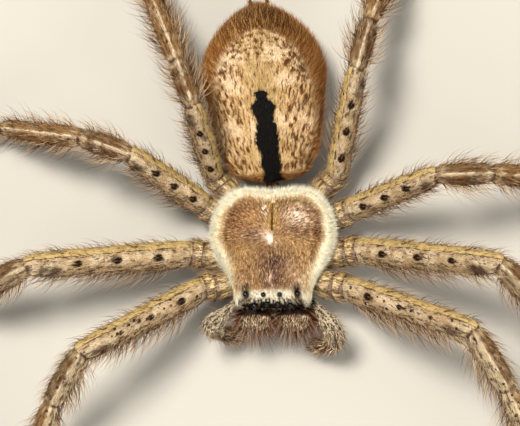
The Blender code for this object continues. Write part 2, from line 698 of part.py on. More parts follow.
def tuft(root, outward, way, length, frame=None):
    """A flat tapered tuft of hair that stands out at its root and bends along the way given."""
    first = (outward * 0.85 + way * 0.55).normalized()
    last = (outward * 0.3 + way * 0.95).normalized()
    across = way.cross(outward).normalized()
    rings = []
    for share, swell in ((0.0, 1.0), (0.5, 0.8)):
        centre = root + length * (first * (share - share**2 / 2) + last * share**2 / 2)
        wide = across.cross(first.lerp(last, share)).normalized() * (TUFT_WIDTH / 2 * swell)
        thick = across * (TUFT_THICKNESS / 2 * swell)
        rings.append([centre + wide, centre + thick, centre - wide, centre - thick])
    tip = root + length * (first + last) / 2
    return object_from("tuft", loft(rings, pole_end=tip), None, frame, HELPERS)


def fringe_on(leg, name, start, end, radius, sign, draw):
    """The tufts of one segment, in rows down its front and rear edges."""
    made = []
    for round_angle, count, row_start, row_end, usual in FRINGES[leg].get(name, ()):
        for i in range(count):
            share = row_start + (row_end - row_start) * i / (count - 1)
            surface, outward, way = skin_point(name, start, end, radius, sign, share, round_angle)
            length = TUFT_ROOT + usual * draw.uniform(1.0 - TUFT_VARIATION, 1.0 + TUFT_VARIATION)
            if (surface + (outward + way) * length * 0.7).z > FLOOR_CLEAR + TUFT_WIDTH / 2:
                made.append(tuft(surface - outward * TUFT_ROOT, outward, way, length))
    return made


def build_leg(side, leg, materials):
    """One leg as five nodes that meet at its joints."""
    sign = SIDES[side]
    draw = random.Random(f"{TUFT_SEED} {side} {leg}")
    sizes = SEGMENTS[leg]
    points = leg_points(side, leg)
    normals = joint_normals(points)
    stretches = (
        ("coxa", 0, ("coxa", "trochanter"), (sizes["coxa"][1],) * 2, 12),
        ("femur", 2, ("femur",), (sizes["femur"][1],), 12),
        ("patella", 3, ("patella",), (sizes["patella"][1],), 12),
        ("tibia", 4, ("tibia",), (sizes["tibia"][1],), 12),
        ("foot", 5, ("metatarsus", "tarsus"), (sizes["metatarsus"][1], sizes["tarsus"][1]), 10),
    )
    for node, first, names, radii, around in stretches:
        last = first + len(names)
        rings = limb_rings(
            points[first:last + 1], normals[first:last + 1],
            [PROFILES[name] for name in names], radii, sign, around,
            gaps=(True, node != "foot"),
        )
        tools = loft(rings)
        if node == "foot":
            flatten_foot(tools)
        made = object_from(f"leg_{leg}_{side}_{node}", tools, materials["leg_coat"])
        if node != "coxa":
            segment = (names[0], points[first], points[first + 1], radii[0], sign)
            combine(made, spines_on(*segment) + fringe_on(leg, *segment, draw))


def flatten_foot(tools):
    """Cuts the pad under the tarsus off flat at the floor."""
    cut = bmesh.ops.bisect_plane(
        tools, geom=tools.verts[:] + tools.edges[:] + tools.faces[:], dist=1e-6,
        plane_co=(0, 0, 0), plane_no=(0, 0, -1), clear_outer=True,
    )
    edges = [item for item in cut["geom_cut"] if isinstance(item, bmesh.types.BMEdge)]
    bmesh.ops.contextual_create(tools, geom=edges)


def build_palp(side, materials):
    """A feeler: its base with the chewing plate, then the bent outer part."""
    sign = SIDES[side]
    mirror = Vector((sign, 1, 1))
    hip, trochanter = (body_frame() @ (Vector(p) * mirror) for p in (PALP_HIP, PALP_TROCHANTER))
    points = [hip, trochanter] + [Vector(point) for point in PALP_JOINTS[side]]
    normals = joint_normals(points)
    inner = [PALP_PROFILES["trochanter"], PALP_PROFILES["femur"]]
    outer = [PALP_PROFILES["tibia"], PALP_PROFILES["tarsus"]]
    rings = limb_rings(points[:3], normals[:3], inner, (1.0, 1.0), sign, 10, gaps=(False, True))
    base = object_from(f"palp_{side}_base", loft(rings), materials["leg_coat"])
    back, front = (Vector(p) * mirror for p in (ENDITE_BACK, ENDITE_FRONT))
    plate = []
    for share in (0.0, 0.15, 0.5, 0.85, 1.0):
        centre = back.lerp(front, share)
        radius = ENDITE_RADIUS * math.sin(math.pi * (0.12 + 0.76 * share)) ** 0.5
        plate.append([
            centre + radius * Vector((math.cos(a), 0.0, 0.8 * math.sin(a)))
            for a in (2 * math.pi * k / 10 for k in range(10))
        ])
    combine(base, [object_from("endite", loft(plate), None, body_frame(), HELPERS)])
    rings = limb_rings(points[2:], normals[2:], outer, (1.0, 1.0), sign, 10, gaps=(True, False))
    object_from(f"palp_{side}_end", loft(rings), materials["leg_coat"])


def centre_on_floor():
    """Moves every piece so that the origin is on the floor, below the middle of the spider."""
    low, high = Vector((1e9,) * 3), Vector((-1e9,) * 3)
    parts = bpy.data.collections[PARTS].objects
    for made in parts:
        for vertex in made.data.vertices:
            low = Vector(map(min, low, vertex.co))
            high = Vector(map(max, high, vertex.co))
    shift = Matrix.Translation((-(low.x + high.x) / 2, -(low.y + high.y) / 2, -low.z))
    for made in parts:
        made.data.transform(shift)


def main():
    """Builds every piece and stands the spider on the floor."""
    clear_scene()
    materials = make_materials()
    build_carapace(materials)
    build_eyes(materials)
    build_sternum(materials)
    build_chelicerae(materials)
    build_pedicel(materials)
    build_abdomen(materials)
    for side in SIDES:
        build_palp(side, materials)
        for leg in SEGMENTS:
            build_leg(side, leg, materials)
    centre_on_floor()


main()
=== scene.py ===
"""A huntsman spider at rest, life size: skin, coat, eyes, fangs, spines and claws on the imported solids.

Sizes are in millimetres until a mesh is made. The head points along -Y and the back faces +Z.
Each skin carries fields of its own (tint, place, zone, lie and so on), and the coat's hairs take
them over at their roots, so that skin and coat are painted by one pattern.
"""

import logging
import math
from dataclasses import dataclass, field
from enum import Enum

import bmesh
import bpy
import numpy as np
from mathutils import Matrix, Vector


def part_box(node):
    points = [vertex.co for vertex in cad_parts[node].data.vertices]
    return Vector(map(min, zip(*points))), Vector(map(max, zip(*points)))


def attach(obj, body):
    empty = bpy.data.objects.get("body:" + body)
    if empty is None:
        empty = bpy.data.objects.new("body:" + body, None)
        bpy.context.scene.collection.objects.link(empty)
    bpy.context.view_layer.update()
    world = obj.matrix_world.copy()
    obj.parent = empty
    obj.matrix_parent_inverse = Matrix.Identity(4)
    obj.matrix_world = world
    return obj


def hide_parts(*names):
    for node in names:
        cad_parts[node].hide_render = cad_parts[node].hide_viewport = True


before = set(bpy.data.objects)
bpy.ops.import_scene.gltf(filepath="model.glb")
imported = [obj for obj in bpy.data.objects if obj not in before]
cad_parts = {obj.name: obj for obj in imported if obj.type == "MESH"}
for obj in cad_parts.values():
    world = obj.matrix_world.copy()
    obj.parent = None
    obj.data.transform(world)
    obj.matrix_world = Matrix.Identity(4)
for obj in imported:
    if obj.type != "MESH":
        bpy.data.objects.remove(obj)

LOG = logging.getLogger("spider")
MM = 0.001
UNWRAP = "Unwrap"
BAKE_MAP = "OFBake"
BAKE_PATCH = 0.0015
# a distance beyond every marking, and how far skins and hairs stay above the floor, in millimetres
FAR = 9.0
SKIN_FLOOR = 0.02
HAIR_FLOOR = 0.01
# along, chance and hair of the skin itself, which is no strand
SKIN_STRAND = (0.0, 0.5, 0.0)
SPIKE_SIDES = 8
# specular levels of hairy skins and of horn, and the roughness up to which a finish is horn
HAIR_GLOSS = 0.12
HORN_GLOSS = 0.3
HORN_ROUGHNESS = 0.3


class Side(Enum):
    """The spider's own left and right, as the sign of X."""

    LEFT = 1
    RIGHT = -1

    @property
    def word(self) -> str:
        """The side's name in a node's name."""
        return self.name.lower()


class LegPair(Enum):
    """The four pairs of legs from the front."""

    FIRST = "I"
    SECOND = "II"
    THIRD = "III"
    FOURTH = "IV"


class Segment(Enum):
    """The segments of a leg from the body out."""

    COXA = 0
    TROCHANTER = 1
    FEMUR = 2
    PATELLA = 3
    TIBIA = 4
    METATARSUS = 5
    TARSUS = 6

    @property
    def hip(self) -> bool:
        """Whether it is one of the two short segments at the body."""
        return self.value < Segment.FEMUR.value


def paint(red: float, green: float, blue: float) -> tuple[float, float, float, float]:
    """Turns a colour as seen, from 0 to 255, into the shader's linear colour."""
    linear = [
        c / 12.92 if c <= 0.04045 else ((c + 0.055) / 1.055) ** 2.4
        for c in (red / 255, green / 255, blue / 255)
    ]
    return (*linear, 1.0)


# stance of the body, as the solids have it
@dataclass(frozen=True)
class Stance:
    """Where the body and the abdomen stand above the floor."""

    height: float = 7.6
    aside: float = 0.12
    pitch: float = 12.0
    roll: float = 4.5
    abdomen_front: float = 6.95
    abdomen_level: float = 6.5
    abdomen_yaw: float = 4.5
    abdomen_roll: float = 4.0

    def body(self) -> Matrix:
        """The pitched and rolled frame of the carapace."""
        return (
            Matrix.Translation((self.aside, 0.0, self.height))
            @ Matrix.Rotation(math.radians(-self.pitch), 4, "X")
            @ Matrix.Rotation(math.radians(-self.roll), 4, "Y")
        )

    def abdomen(self) -> Matrix:
        """The frame of the abdomen, swung about the waist."""
        return (
            Matrix.Translation((0.0, self.abdomen_front, self.abdomen_level))
            @ Matrix.Rotation(math.radians(self.abdomen_yaw), 4, "Z")
            @ Matrix.Rotation(math.radians(-self.abdomen_roll), 4, "Y")
        )


STANCE = Stance()


def read_between(stations: tuple, at: np.ndarray) -> np.ndarray:
    """Reads a smooth curve through stations.

    Args:
        stations: Rows of a place and its value.
        at: The places to read.

    Returns:
        The values there.
    """
    places, values = (np.array(column, float) for column in zip(*stations))
    at = np.clip(np.asarray(at, float), places[0], places[-1])
    here = np.clip(np.searchsorted(places, at, side="right") - 1, 0, len(places) - 2)
    before, after = np.maximum(here - 1, 0), np.minimum(here + 2, len(places) - 1)
    span = places[here + 1] - places[here]
    share = (at - places[here]) / span
    slope_in = (values[here + 1] - values[before]) / (places[here + 1] - places[before]) * span
    slope_out = (values[after] - values[here]) / (places[after] - places[here]) * span
    square, cube = share**2, share**3
    return (
        values[here] * (2 * cube - 3 * square + 1)
        + slope_in * (cube - 2 * square + share)
        + values[here + 1] * (3 * square - 2 * cube)
        + slope_out * (cube - square)
    )


def smooth_step(low: float, high: float, at: np.ndarray) -> np.ndarray:
    """Rises smoothly from 0 at low to 1 at high."""
    share = np.clip((np.asarray(at, float) - low) / (high - low), 0.0, 1.0)
    return share * share * (3.0 - 2.0 * share)


def bell(at: np.ndarray, width: float) -> np.ndarray:
    """A bell curve of height 1 about 0."""
    return np.exp(-((np.asarray(at, float) / width) ** 2))


def unit(vectors: np.ndarray) -> np.ndarray:
    """Vectors of length 1, along the last axis."""
    return vectors / np.maximum(np.linalg.norm(vectors, axis=-1, keepdims=True), 1e-9)


def turned(points: np.ndarray, matrix: Matrix, ways: bool = False) -> np.ndarray:
    """Moves points, or turns ways, by a matrix."""
    held = np.array(matrix)
    moved = points @ held[:3, :3].T
    return moved if ways else moved + held[:3, 3]


def blended(colours: np.ndarray, other: tuple, share: np.ndarray) -> np.ndarray:
    """Colours taken towards another by a share at each point, opaque."""
    share = np.asarray(share, float)[..., None]
    made = colours * (1.0 - share) + np.array(other) * share
    made[..., 3] = 1.0
    return made


def mixed(first: tuple, second: tuple, share: np.ndarray) -> np.ndarray:
    """A colour between two, for each share."""
    share = np.asarray(share, float)[..., None]
    return np.array(first) * (1.0 - share) + np.array(second) * share


# meshes
@dataclass
class Surface:
    """Rings of points round an axis, with a field at each point, ready to be a skin."""

    points: np.ndarray
    fields: dict = field(default_factory=dict)

    def tint(self, colours: np.ndarray) -> None:
        """Sets the base colour at each point."""
        self.fields["tint"] = np.broadcast_to(colours, (*self.points.shape[:2], 4)).copy()

    def faces(self, first: int) -> tuple[list, list]:
        """The faces between the rings, and their corners' places on the unwrap."""
        rings, around = self.points.shape[:2]
        faces, places = [], []
        for i in range(rings - 1):
            for k in range(around):
                after = (k + 1) % around
                faces.append((
                    first + i * around + k,
                    first + i * around + after,
                    first + (i + 1) * around + after,
                    first + (i + 1) * around + k,
                ))
                places += [(k, i), (k + 1, i), (k + 1, i + 1), (k, i + 1)]
        for row in (0, rings - 1):
            ring = [first + row * around + k for k in range(around)]
            faces.append(ring if row else ring[::-1])
            corners = [(k, row) for k in range(around)]
            places += corners if row else corners[::-1]
        spread = np.array(places, float) / (around, rings - 1)
        return faces, list(0.01 + 0.98 * spread)


class Maker:
    """Builds objects from surfaces, in the frame of the solids."""

    KINDS = {1: ("FLOAT", "value"), 3: ("FLOAT_VECTOR", "vector"), 4: ("FLOAT_COLOR", "color")}

    def __init__(self) -> None:
        """Finds how far the solids are moved from the middle of the carapace."""
        low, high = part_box("eye_posterior_median_left")
        at_eye = STANCE.body() @ eye_centre(EYES[0], Side.LEFT)
        self.shift = np.array((low + high) / 2) / MM - np.array(at_eye)

    def object(self, name: str, surfaces: list[Surface], material: bpy.types.Material) -> bpy.types.Object:
        """Makes one smooth mesh object from surfaces that overlap or stand apart.

        Args:
            name: The object's name.
            surfaces: Its closed surfaces, in millimetres from the middle of the carapace.
            material: Its finish.

        Returns:
            The object, at the origin.
        """
        points, faces, places = [], [], []
        for surface in surfaces:
            made, spread = surface.faces(len(points))
            faces += made
            places += spread
            points += list(surface.points.reshape(-1, 3))
        mesh = bpy.data.meshes.new(name)
        moved = (np.array(points) + self.shift) * MM
        mesh.from_pydata(moved.tolist(), [], faces)
        layer = mesh.uv_layers.new(name=UNWRAP)
        layer.data.foreach_set("uv", np.array(places, np.float32).ravel())
        fields = {key: [s.fields[key] for s in surfaces] for key in surfaces[0].fields}
        fields["root"] = [s.points for s in surfaces]
        for key, parts in fields.items():
            self.store(mesh, key, np.concatenate([part.reshape(-1, *part.shape[2:]) for part in parts]))
        self.store(mesh, "strand", np.tile(SKIN_STRAND, (len(points), 1)))
        mesh.materials.append(material)
        mesh.shade_smooth()
        made = bpy.data.objects.new(name, mesh)
        bpy.context.scene.collection.objects.link(made)
        self.point_outwards(mesh)
        return made

    def stand_in(
        self, name: str, surfaces: list[Surface], material: bpy.types.Material, slot: str, *nodes: str
    ) -> bpy.types.Object:
        """Makes an object and puts it in the place of solids.

        Args:
            name: The object's name.
            surfaces: Its closed surfaces.
            material: Its finish.
            slot: The record's material slot; not used.
            nodes: The solids that it stands for.

        Returns:
            The object, at the origin.
        """
        made = self.object(name, surfaces, material)
        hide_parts(*nodes)
        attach(made, "root")
        LOG.info("%s: %d points", name, len(made.data.vertices))
        return made

    @staticmethod
    def point_outwards(mesh: bpy.types.Mesh) -> None:
        """Turns every face of closed surfaces outwards."""
        tools = bmesh.new()
        tools.from_mesh(mesh)
        bmesh.ops.recalc_face_normals(tools, faces=tools.faces)
        tools.to_mesh(mesh)
        tools.free()

    @classmethod
    def store(cls, mesh: bpy.types.Mesh, name: str, values: np.ndarray) -> None:
        """Stores a number, a vector or a colour at each point of a mesh."""
        kind, slot = cls.KINDS[1 if values.ndim == 1 else values.shape[1]]
        held = mesh.attributes.new(name, kind, "POINT")
        held.data.foreach_set(slot, np.asarray(values, np.float32).ravel())


# node trees
class Sum:
    """A number in a node tree, with operators that add Math nodes."""

    def __init__(self, nodes: "Nodes", socket: bpy.types.NodeSocket) -> None:
        """Holds a socket."""
        self.nodes, self.socket = nodes, socket

    def maths(self, operation: str, *others: object) -> "Sum":
        """Adds one Math node on this number and others."""
        sockets = dict(enumerate((self, *others)))
        return self.nodes.number("ShaderNodeMath", {"operation": operation}, sockets)

    def __add__(self, other: object) -> "Sum":
        """Adds."""
        return self.maths("ADD", other)

    __radd__ = __add__

    def __mul__(self, other: object) -> "Sum":
        """Multiplies."""
        return self.maths("MULTIPLY", other)

    __rmul__ = __mul__

    def __sub__(self, other: object) -> "Sum":
        """Subtracts."""
        return self.maths("SUBTRACT", other)

    def __rsub__(self, other: object) -> "Sum":
        """Subtracts this from another."""
        return (self * -1.0) + other

    def __truediv__(self, other: object) -> "Sum":
        """Divides."""
        return self.maths("DIVIDE", other)

    def __abs__(self) -> "Sum":
        """Drops the sign."""
        return self.maths("ABSOLUTE")

    def above(self, low: float, high: float) -> "Sum":
        """Rises smoothly from 0 at low to 1 at high, or falls where high is below low."""
        settings = {"interpolation_type": "SMOOTHSTEP"}
        return self.nodes.number("ShaderNodeMapRange", settings, {0: self, 1: low, 2: high})


class Nodes:
    """Adds nodes to one tree."""

    def __init__(self, tree: bpy.types.NodeTree) -> None:
        """Holds the tree."""
        self.tree = tree

    def add(self, kind: str, settings: dict | None = None, sockets: dict | None = None) -> bpy.types.Node:
        """Adds a node.

        Args:
            kind: The node's type.
            settings: Its settings, which are set first.
            sockets: Values or links by a socket's name or number.

        Returns:
            The node.
        """
        node = self.tree.nodes.new(kind)
        for name, value in (settings or {}).items():
            setattr(node, name, value)
        for name, value in (sockets or {}).items():
            if isinstance(value, Sum):
                value = value.socket
            if isinstance(value, bpy.types.NodeSocket):
                self.tree.links.new(value, node.inputs[name])
            else:
                node.inputs[name].default_value = value
        return node

    def number(self, kind: str, settings: dict, sockets: dict, out: object = 0) -> Sum:
        """Adds a node and holds one of its outputs."""
        return Sum(self, self.add(kind, settings, sockets).outputs[out])

    def vector(self, operation: str, *values: object) -> bpy.types.NodeSocket:
        """Adds a Vector Math node and returns its vector."""
        sockets = dict(enumerate(values))
        if operation == "SCALE":
            sockets = {0: values[0], "Scale": values[1]}
        return self.add("ShaderNodeVectorMath", {"operation": operation}, sockets).outputs[0]

    def joined(self, x: object, y: object, z: object) -> bpy.types.NodeSocket:
        """Joins three numbers into a vector."""
        return self.add("ShaderNodeCombineXYZ", {}, {0: x, 1: y, 2: z}).outputs[0]

    def parted(self, vector: bpy.types.NodeSocket) -> tuple[Sum, Sum, Sum]:
        """Parts a vector into three numbers."""
        node = self.add("ShaderNodeSeparateXYZ", {}, {0: vector})
        return tuple(Sum(self, out) for out in node.outputs)


class Pattern(Nodes):
    """A material's nodes, with the skin's fields at hand."""

    def __init__(self, name: str) -> None:
        """Starts a material."""
        self.material = bpy.data.materials.new(name)
        self.material.use_nodes = True
        super().__init__(self.material.node_tree)
        self.shader = self.tree.nodes["Principled BSDF"]

    def held(self, name: str, out: str = "Vector") -> bpy.types.NodeSocket:
        """Reads a field of the skin."""
        return self.add("ShaderNodeAttribute", {"attribute_name": name}).outputs[out]

    def noise(self, place: object, scale: float, detail: float = 2.0, roughness: float = 0.5) -> Sum:
        """A cloudy pattern from 0 to 1, finer as scale grows."""
        sockets = {"Vector": place, "Scale": scale, "Detail": detail, "Roughness": roughness}
        return self.number("ShaderNodeTexNoise", {}, sockets, "Fac")

    def blend(self, share: object, first: object, second: object, way: str = "MIX") -> bpy.types.NodeSocket:
        """Mixes two colours."""
        settings = {"data_type": "RGBA", "blend_type": way}
        node = self.add("ShaderNodeMix", settings)
        for slot, value in ((0, share), (6, first), (7, second)):
            if isinstance(value, Sum):
                value = value.socket
            if isinstance(value, bpy.types.NodeSocket):
                self.tree.links.new(value, node.inputs[slot])
            else:
                node.inputs[slot].default_value = value
        return node.outputs[2]

    def shaded(self, colour: object, share: object) -> bpy.types.NodeSocket:
        """Makes a colour lighter or darker by a number about 1."""
        grey = self.joined(share, share, share)
        return self.blend(1.0, colour, grey, "MULTIPLY")

    def finish(
        self, colour: object, roughness: float, bump: object = None, depth: float = 0.0
    ) -> bpy.types.Material:
        """Feeds the shader.

        Args:
            colour: The surface's colour.
            roughness: How dull it is.
            bump: A height pattern, if any.
            depth: The height of the bump in metres.

        Returns:
            The material.
        """
        if isinstance(colour, bpy.types.NodeSocket):
            self.tree.links.new(colour, self.shader.inputs["Base Color"])
        else:
            self.shader.inputs["Base Color"].default_value = colour
        self.shader.inputs["Roughness"].default_value = roughness
        self.shader.inputs["Specular IOR Level"].default_value = (
            HAIR_GLOSS if roughness > HORN_ROUGHNESS else HORN_GLOSS
        )
        if bump is not None:
            node = self.add("ShaderNodeBump", {}, {"Height": bump, "Distance": depth, "Strength": 1.0})
            self.tree.links.new(node.outputs[0], self.shader.inputs["Normal"])
        return self.material


# finishes
@dataclass(frozen=True)
class StrandShade:
    """How a hair's colour departs from its root's, and the painted shade on the skin between the hairs."""

    dark: float = 0.55
    light: float = 1.4
    tip: float = 0.25
    # the factor on the skin between the hairs: painted shade
    skin: float = 0.72

    def on(self, pattern: Pattern, colour: bpy.types.NodeSocket) -> bpy.types.NodeSocket:
        """Shades a colour along each hair and from hair to hair, and paints shade on the skin between the
        hairs.
        """
        along, chance, hair = pattern.parted(pattern.held("strand"))
        share = chance.above(0.1, 0.9) * (self.light - self.dark) + self.dark + along * self.tip
        return pattern.shaded(colour, hair * (share - self.skin) + self.skin)


@dataclass(frozen=True)
class LegFinish:
    """Grey-cream legs with dark spots, a yellow band behind and brown outer segments, with painted sheen
    along the top and on the front of the hip joints.
    """

    speck: tuple = paint(58, 30, 9)
    spot: tuple = paint(34, 15, 6)
    band: tuple = paint(208, 180, 116)
    line: tuple = paint(58, 36, 12)
    joint: tuple = paint(74, 42, 28)
    # joint membrane, painted pale lilac as its sheen
    membrane: tuple = paint(170, 148, 138)
    pale: tuple = paint(236, 216, 182)
    shade: StrandShade = StrandShade(0.45, 1.5, 0.3, 0.72)

    def material(self) -> bpy.types.Material:
        """Builds the material of the legs' skin and short hair."""
        p = Pattern("leg_coat_finish")
        root = p.held("root")
        along, forward, up = p.parted(p.held("place"))
        spot, joint, banded = p.parted(p.held("zone"))
        freckled = Sum(p, p.held("tint", "Alpha"))
        broad = p.noise(root, 0.8, 3.0)
        fine = p.noise(root, 4.4, 3.0, 0.62)
        streak = p.noise(p.joined(along * 0.85, forward * 4.2, up * 4.2), 1.0, 3.0, 0.62)
        # painted sheen: a pale strip along each segment's top, and beyond the femur a thin bright line along
        # it
        middle = (abs(forward - 0.1) - banded * 0.25).above(0.35, -0.15) * (0.18 - banded * 0.1)
        top_sheen_line = abs(forward - 0.02).above(0.13, 0.04) * banded.above(0.25, 0.18) * broad.above(0.42, 0.55)
        light = broad * 0.55 + streak * 0.3 + fine * 0.15 + middle
        tight = abs(banded - 0.35).above(0.2, 0.1)
        share = light.above(0.47, 0.67) * (banded * 0.4 + tight * 0.2 + 0.45)
        colour = p.blend(share, p.held("tint", "Color"), self.pale)
        dark = fine * 0.45 + streak * 0.55 - middle * 0.3 + tight * 0.045
        colour = p.blend(dark.above(0.49, 0.56) * 0.82, colour, self.speck)
        # the painted sheen line along the top
        colour = p.blend(top_sheen_line * 0.8, colour, self.pale)
        dots = p.number("ShaderNodeTexVoronoi", {}, {"Vector": root, "Scale": 1.1}, "Distance")
        colour = p.blend((dots + (fine - 0.5) * 0.2).above(0.26, 0.17) * freckled, colour, self.spot)
        edge = forward + (broad - 0.5) * 0.2
        in_band = edge.above(-0.4, -0.5) * banded
        colour = p.blend(in_band * (streak.above(0.6, 0.4) * 0.35 + 0.5), colour, self.band)
        ticks = abs((along * 1.05 + forward * 0.8).maths("FRACT") - 0.5).above(0.42, 0.47)
        ticks = ticks * edge.above(-0.8, -0.7) * in_band * fine.above(0.42, 0.5) * banded.above(0.5, 0.9)
        rows = abs(edge + 0.45).above(0.06, 0.025) * streak.above(0.4, 0.5)
        rows = rows + abs(edge + 0.74).above(0.04, 0.015) * fine.above(0.5, 0.6) * 0.6
        colour = p.blend((rows * banded + ticks * 0.8).maths("MINIMUM", 1.0) * 0.85, colour, self.line)
        colour = p.blend((spot + (fine - 0.5) * 0.4).above(0.5, 0.3), colour, self.spot)
        seam = joint + (fine - 0.5) * 0.3 + forward.above(0.4, -0.4) * (0.4 - tight * 0.25)
        colour = p.blend((seam - tight * 0.16).above(0.3, 0.12) * 0.9, colour, self.joint)
        # the membrane on the front of the hip joints, painted pale as its sheen
        bare = (joint + (fine - 0.5) * 0.2).above(0.3, 0.2) * tight * forward.above(-0.3, 0.1)
        colour = p.blend(bare * 0.75, colour, self.membrane)
        colour = p.blend(in_band * 0.3, self.shade.on(p, colour), colour)
        grain = p.noise(root, 9.0, 2.0) + spot.above(0.25, 0.0) * -0.6
        return p.finish(colour, 0.6, grain, 0.00006)


@dataclass(frozen=True)
class LongHairFinish:
    """Long hair of three browns."""

    name: str
    pale: tuple = paint(216, 186, 146)
    middle: tuple = paint(158, 116, 78)
    dark: tuple = paint(86, 53, 30)

    def material(self) -> bpy.types.Material:
        """Builds the material."""
        p = Pattern(self.name)
        along, chance, _ = p.parted(p.held("strand"))
        colour = p.blend(chance.above(0.38, 0.42), self.dark, self.middle)
        colour = p.blend(chance.above(0.62, 0.66), colour, self.pale)
        return p.finish(p.shaded(colour, along * 0.4 + 0.75), 0.42)


@dataclass(frozen=True)
class AbdomenFinish:
    """Cream speckled back with a black middle stripe and a brown and golden border."""

    stripe: tuple = paint(9, 6, 5)
    streak: tuple = paint(84, 42, 12)
    brown: tuple = paint(150, 98, 48)
    pale: tuple = paint(232, 208, 172)
    gold: tuple = paint(200, 163, 102)
    shade: StrandShade = StrandShade(0.6, 1.4, 0.2, 0.75)

    def material(self) -> bpy.types.Material:
        """Builds the material of the abdomen's skin and hair."""
        p = Pattern("abdomen_coat_finish")
        root = p.held("root")
        across, along, _ = p.parted(p.held("place"))
        stripe, border, patch = p.parted(p.held("zone"))
        _, chance, hair = p.parted(p.held("strand"))
        width = abs(across)
        level = along + across * across * 0.1
        rear = level.above(12.4, 14.6)
        fine = p.noise(root, 4.2, 3.0, 0.6)
        wander = (p.noise(root, 0.8, 2.0) - 0.5) * 0.7
        dashes = p.noise(p.joined((across + wander) * 5.0, along * 0.95, 0.0), 1.0, 3.0, 0.6)
        spots = p.noise(p.joined(across * 1.9, level * 2.7, 4.0), 1.0, 3.0, 0.6)
        dashes = dashes * (1.0 - rear) + spots * rear
        clouds = p.noise(p.joined(across * 1.3, along * 0.8, 9.0), 0.9, 5.0, 0.65)
        inside = border.above(0.6, -0.6)
        colour = p.held("tint", "Color")
        light = clouds + patch * 0.34 + width.above(1.2, 3.0) * 0.05 + rear * 0.05 - (dashes - 0.5) * 0.8
        colour = p.blend(light.above(0.5, 0.82) * inside * 0.9, colour, self.pale)
        crowd = width.above(0.9, 3.8) * 0.075 + rear * 0.04 + along.above(3.5, 1.0) * 0.03
        dark = dashes + crowd - patch * 0.1 - (clouds - 0.5) * 0.25
        colour = p.blend(dark.above(0.52, 0.6) * inside * 0.55, colour, self.brown)
        colour = p.blend(dark.above(0.565, 0.635) * inside * 0.92, colour, self.streak)
        golden = chance.above(0.68, 0.82) * border.above(-0.5, 0.5) * hair
        colour = p.blend(golden * 0.65, colour, self.gold)
        colour = self.shade.on(p, colour)
        ragged = stripe + (fine - 0.5) * 1.2 + (dashes - 0.5) * 0.5
        colour = p.blend(ragged.above(0.08, -0.06), colour, self.stripe)
        return p.finish(colour, 0.62, p.noise(root, 8.0, 2.0), 0.00005)


@dataclass(frozen=True)
class CarapaceFinish:
    """Mottled brown carapace with a cream margin, a dark centre line and white round the eyes, with painted
    sheen on its bare patches and painted shade on the face below the eyes.
    """

    dark: tuple = paint(72, 36, 12)
    light: tuple = paint(240, 207, 156)
    fovea: tuple = paint(40, 22, 14)
    # painted highlight: the sheen on the bare, shiny patches
    bare: tuple = paint(250, 232, 210)
    cream: tuple = paint(255, 252, 232)
    # the face below the eyes: dark hair, painted near black as the shade there
    face: tuple = paint(17, 9, 6)
    shade: StrandShade = StrandShade(0.5, 1.5, 0.2, 0.6)

    def material(self) -> bpy.types.Material:
        """Builds the material of the carapace's skin and hair."""
        p = Pattern("carapace_coat_finish")
        root = p.held("root")
        fovea, margin, bare = p.parted(p.held("zone"))
        _, chance, hair = p.parted(p.held("strand"))
        x, y, _ = p.parted(p.held("place"))
        plain = Sum(p, p.held("tint", "Alpha"))
        around = (x - 0.1).maths("ARCTAN2", 0.4 - y)
        out = ((x - 0.1) * (x - 0.1) + (y - 0.4) * (y - 0.4)).maths("SQRT")
        rays = p.noise(p.joined(around * 20.0, out * 2.0, 0.0), 1.0, 3.0, 0.6)
        ahead = p.noise(p.joined(x * 5.6, y * 1.9, 3.0), 1.0, 3.0, 0.6)
        strokes = rays + (ahead - rays) * y.above(0.3, -1.8)
        fine = p.noise(root, 5.0, 3.0, 0.62)
        specks = p.noise(root, 8.0, 2.0, 0.5)
        grain = strokes * 0.6 + fine * 0.4
        inside = margin.above(0.3, 1.0).maths("MAXIMUM", y.above(-6.1, -6.4))
        contrast = ((grain - 0.5) * 4.6).maths("MAXIMUM", -0.5).maths("MINIMUM", 0.5)
        colour = p.shaded(p.held("tint", "Color"), contrast * inside + 1.0)
        colour = p.blend(grain.above(0.54, 0.62) * 0.45 * inside, colour, self.light)
        colour = p.blend(grain.above(0.46, 0.39) * 0.75 * inside, colour, self.dark)
        colour = p.blend(chance.above(0.8, 0.86) * 0.35 * hair * inside, colour, self.light)
        colour = self.shade.on(p, colour)
        # the bare patches painted near white as their sheen
        colour = p.blend((bare + (strokes - 0.5) * 4.0).above(0.3, 1.2) * 0.92, colour, self.bare)
        colour = p.blend((fovea + (fine - 0.5) * 0.12).above(0.16, 0.04), colour, self.fovea)
        edge = (margin + (strokes - 0.5) * 2.8 + (fine - 0.5) * 2.2).above(1.15, 0.5) * y.above(-6.45, -6.1)
        edge = edge * (1.0 - y.above(-2.4, -4.6) * grain.above(0.5, 0.44) * 0.75)
        edge = edge * (1.0 - y.above(-5.0, -5.6) * fine.above(0.53, 0.46) * 0.6)
        level = y + (fine - 0.5) * 2.4
        row = (level + (strokes - 0.5) * 1.6).above(-5.3, -5.75) * level.above(-6.9, -6.4)
        row = row * (fine.above(0.4, 0.54) * 0.62 + 0.26) * plain
        white = chance.above(0.04, 0.12) * (fine.above(0.36, 0.5) * 0.14 + 0.86)
        white = edge * white * specks.above(0.7, 0.64)
        colour = p.blend(white.maths("MAXIMUM", row), colour, self.cream)
        spots = y.above(-6.2, -6.45) * grain.above(0.53, 0.47) * margin.above(-5.0, -4.0)
        # the face below the eyes painted near black as shade, with the dark spots just above it
        front = (margin + (fine - 0.5) * 2.4).above(-0.7, -1.5).maths("MAXIMUM", spots)
        colour = p.blend(front, colour, p.blend(chance.above(0.92, 0.96) * hair, self.face, self.dark))
        return p.finish(colour, 0.55, p.noise(root, 7.0, 3.0), 0.00005)


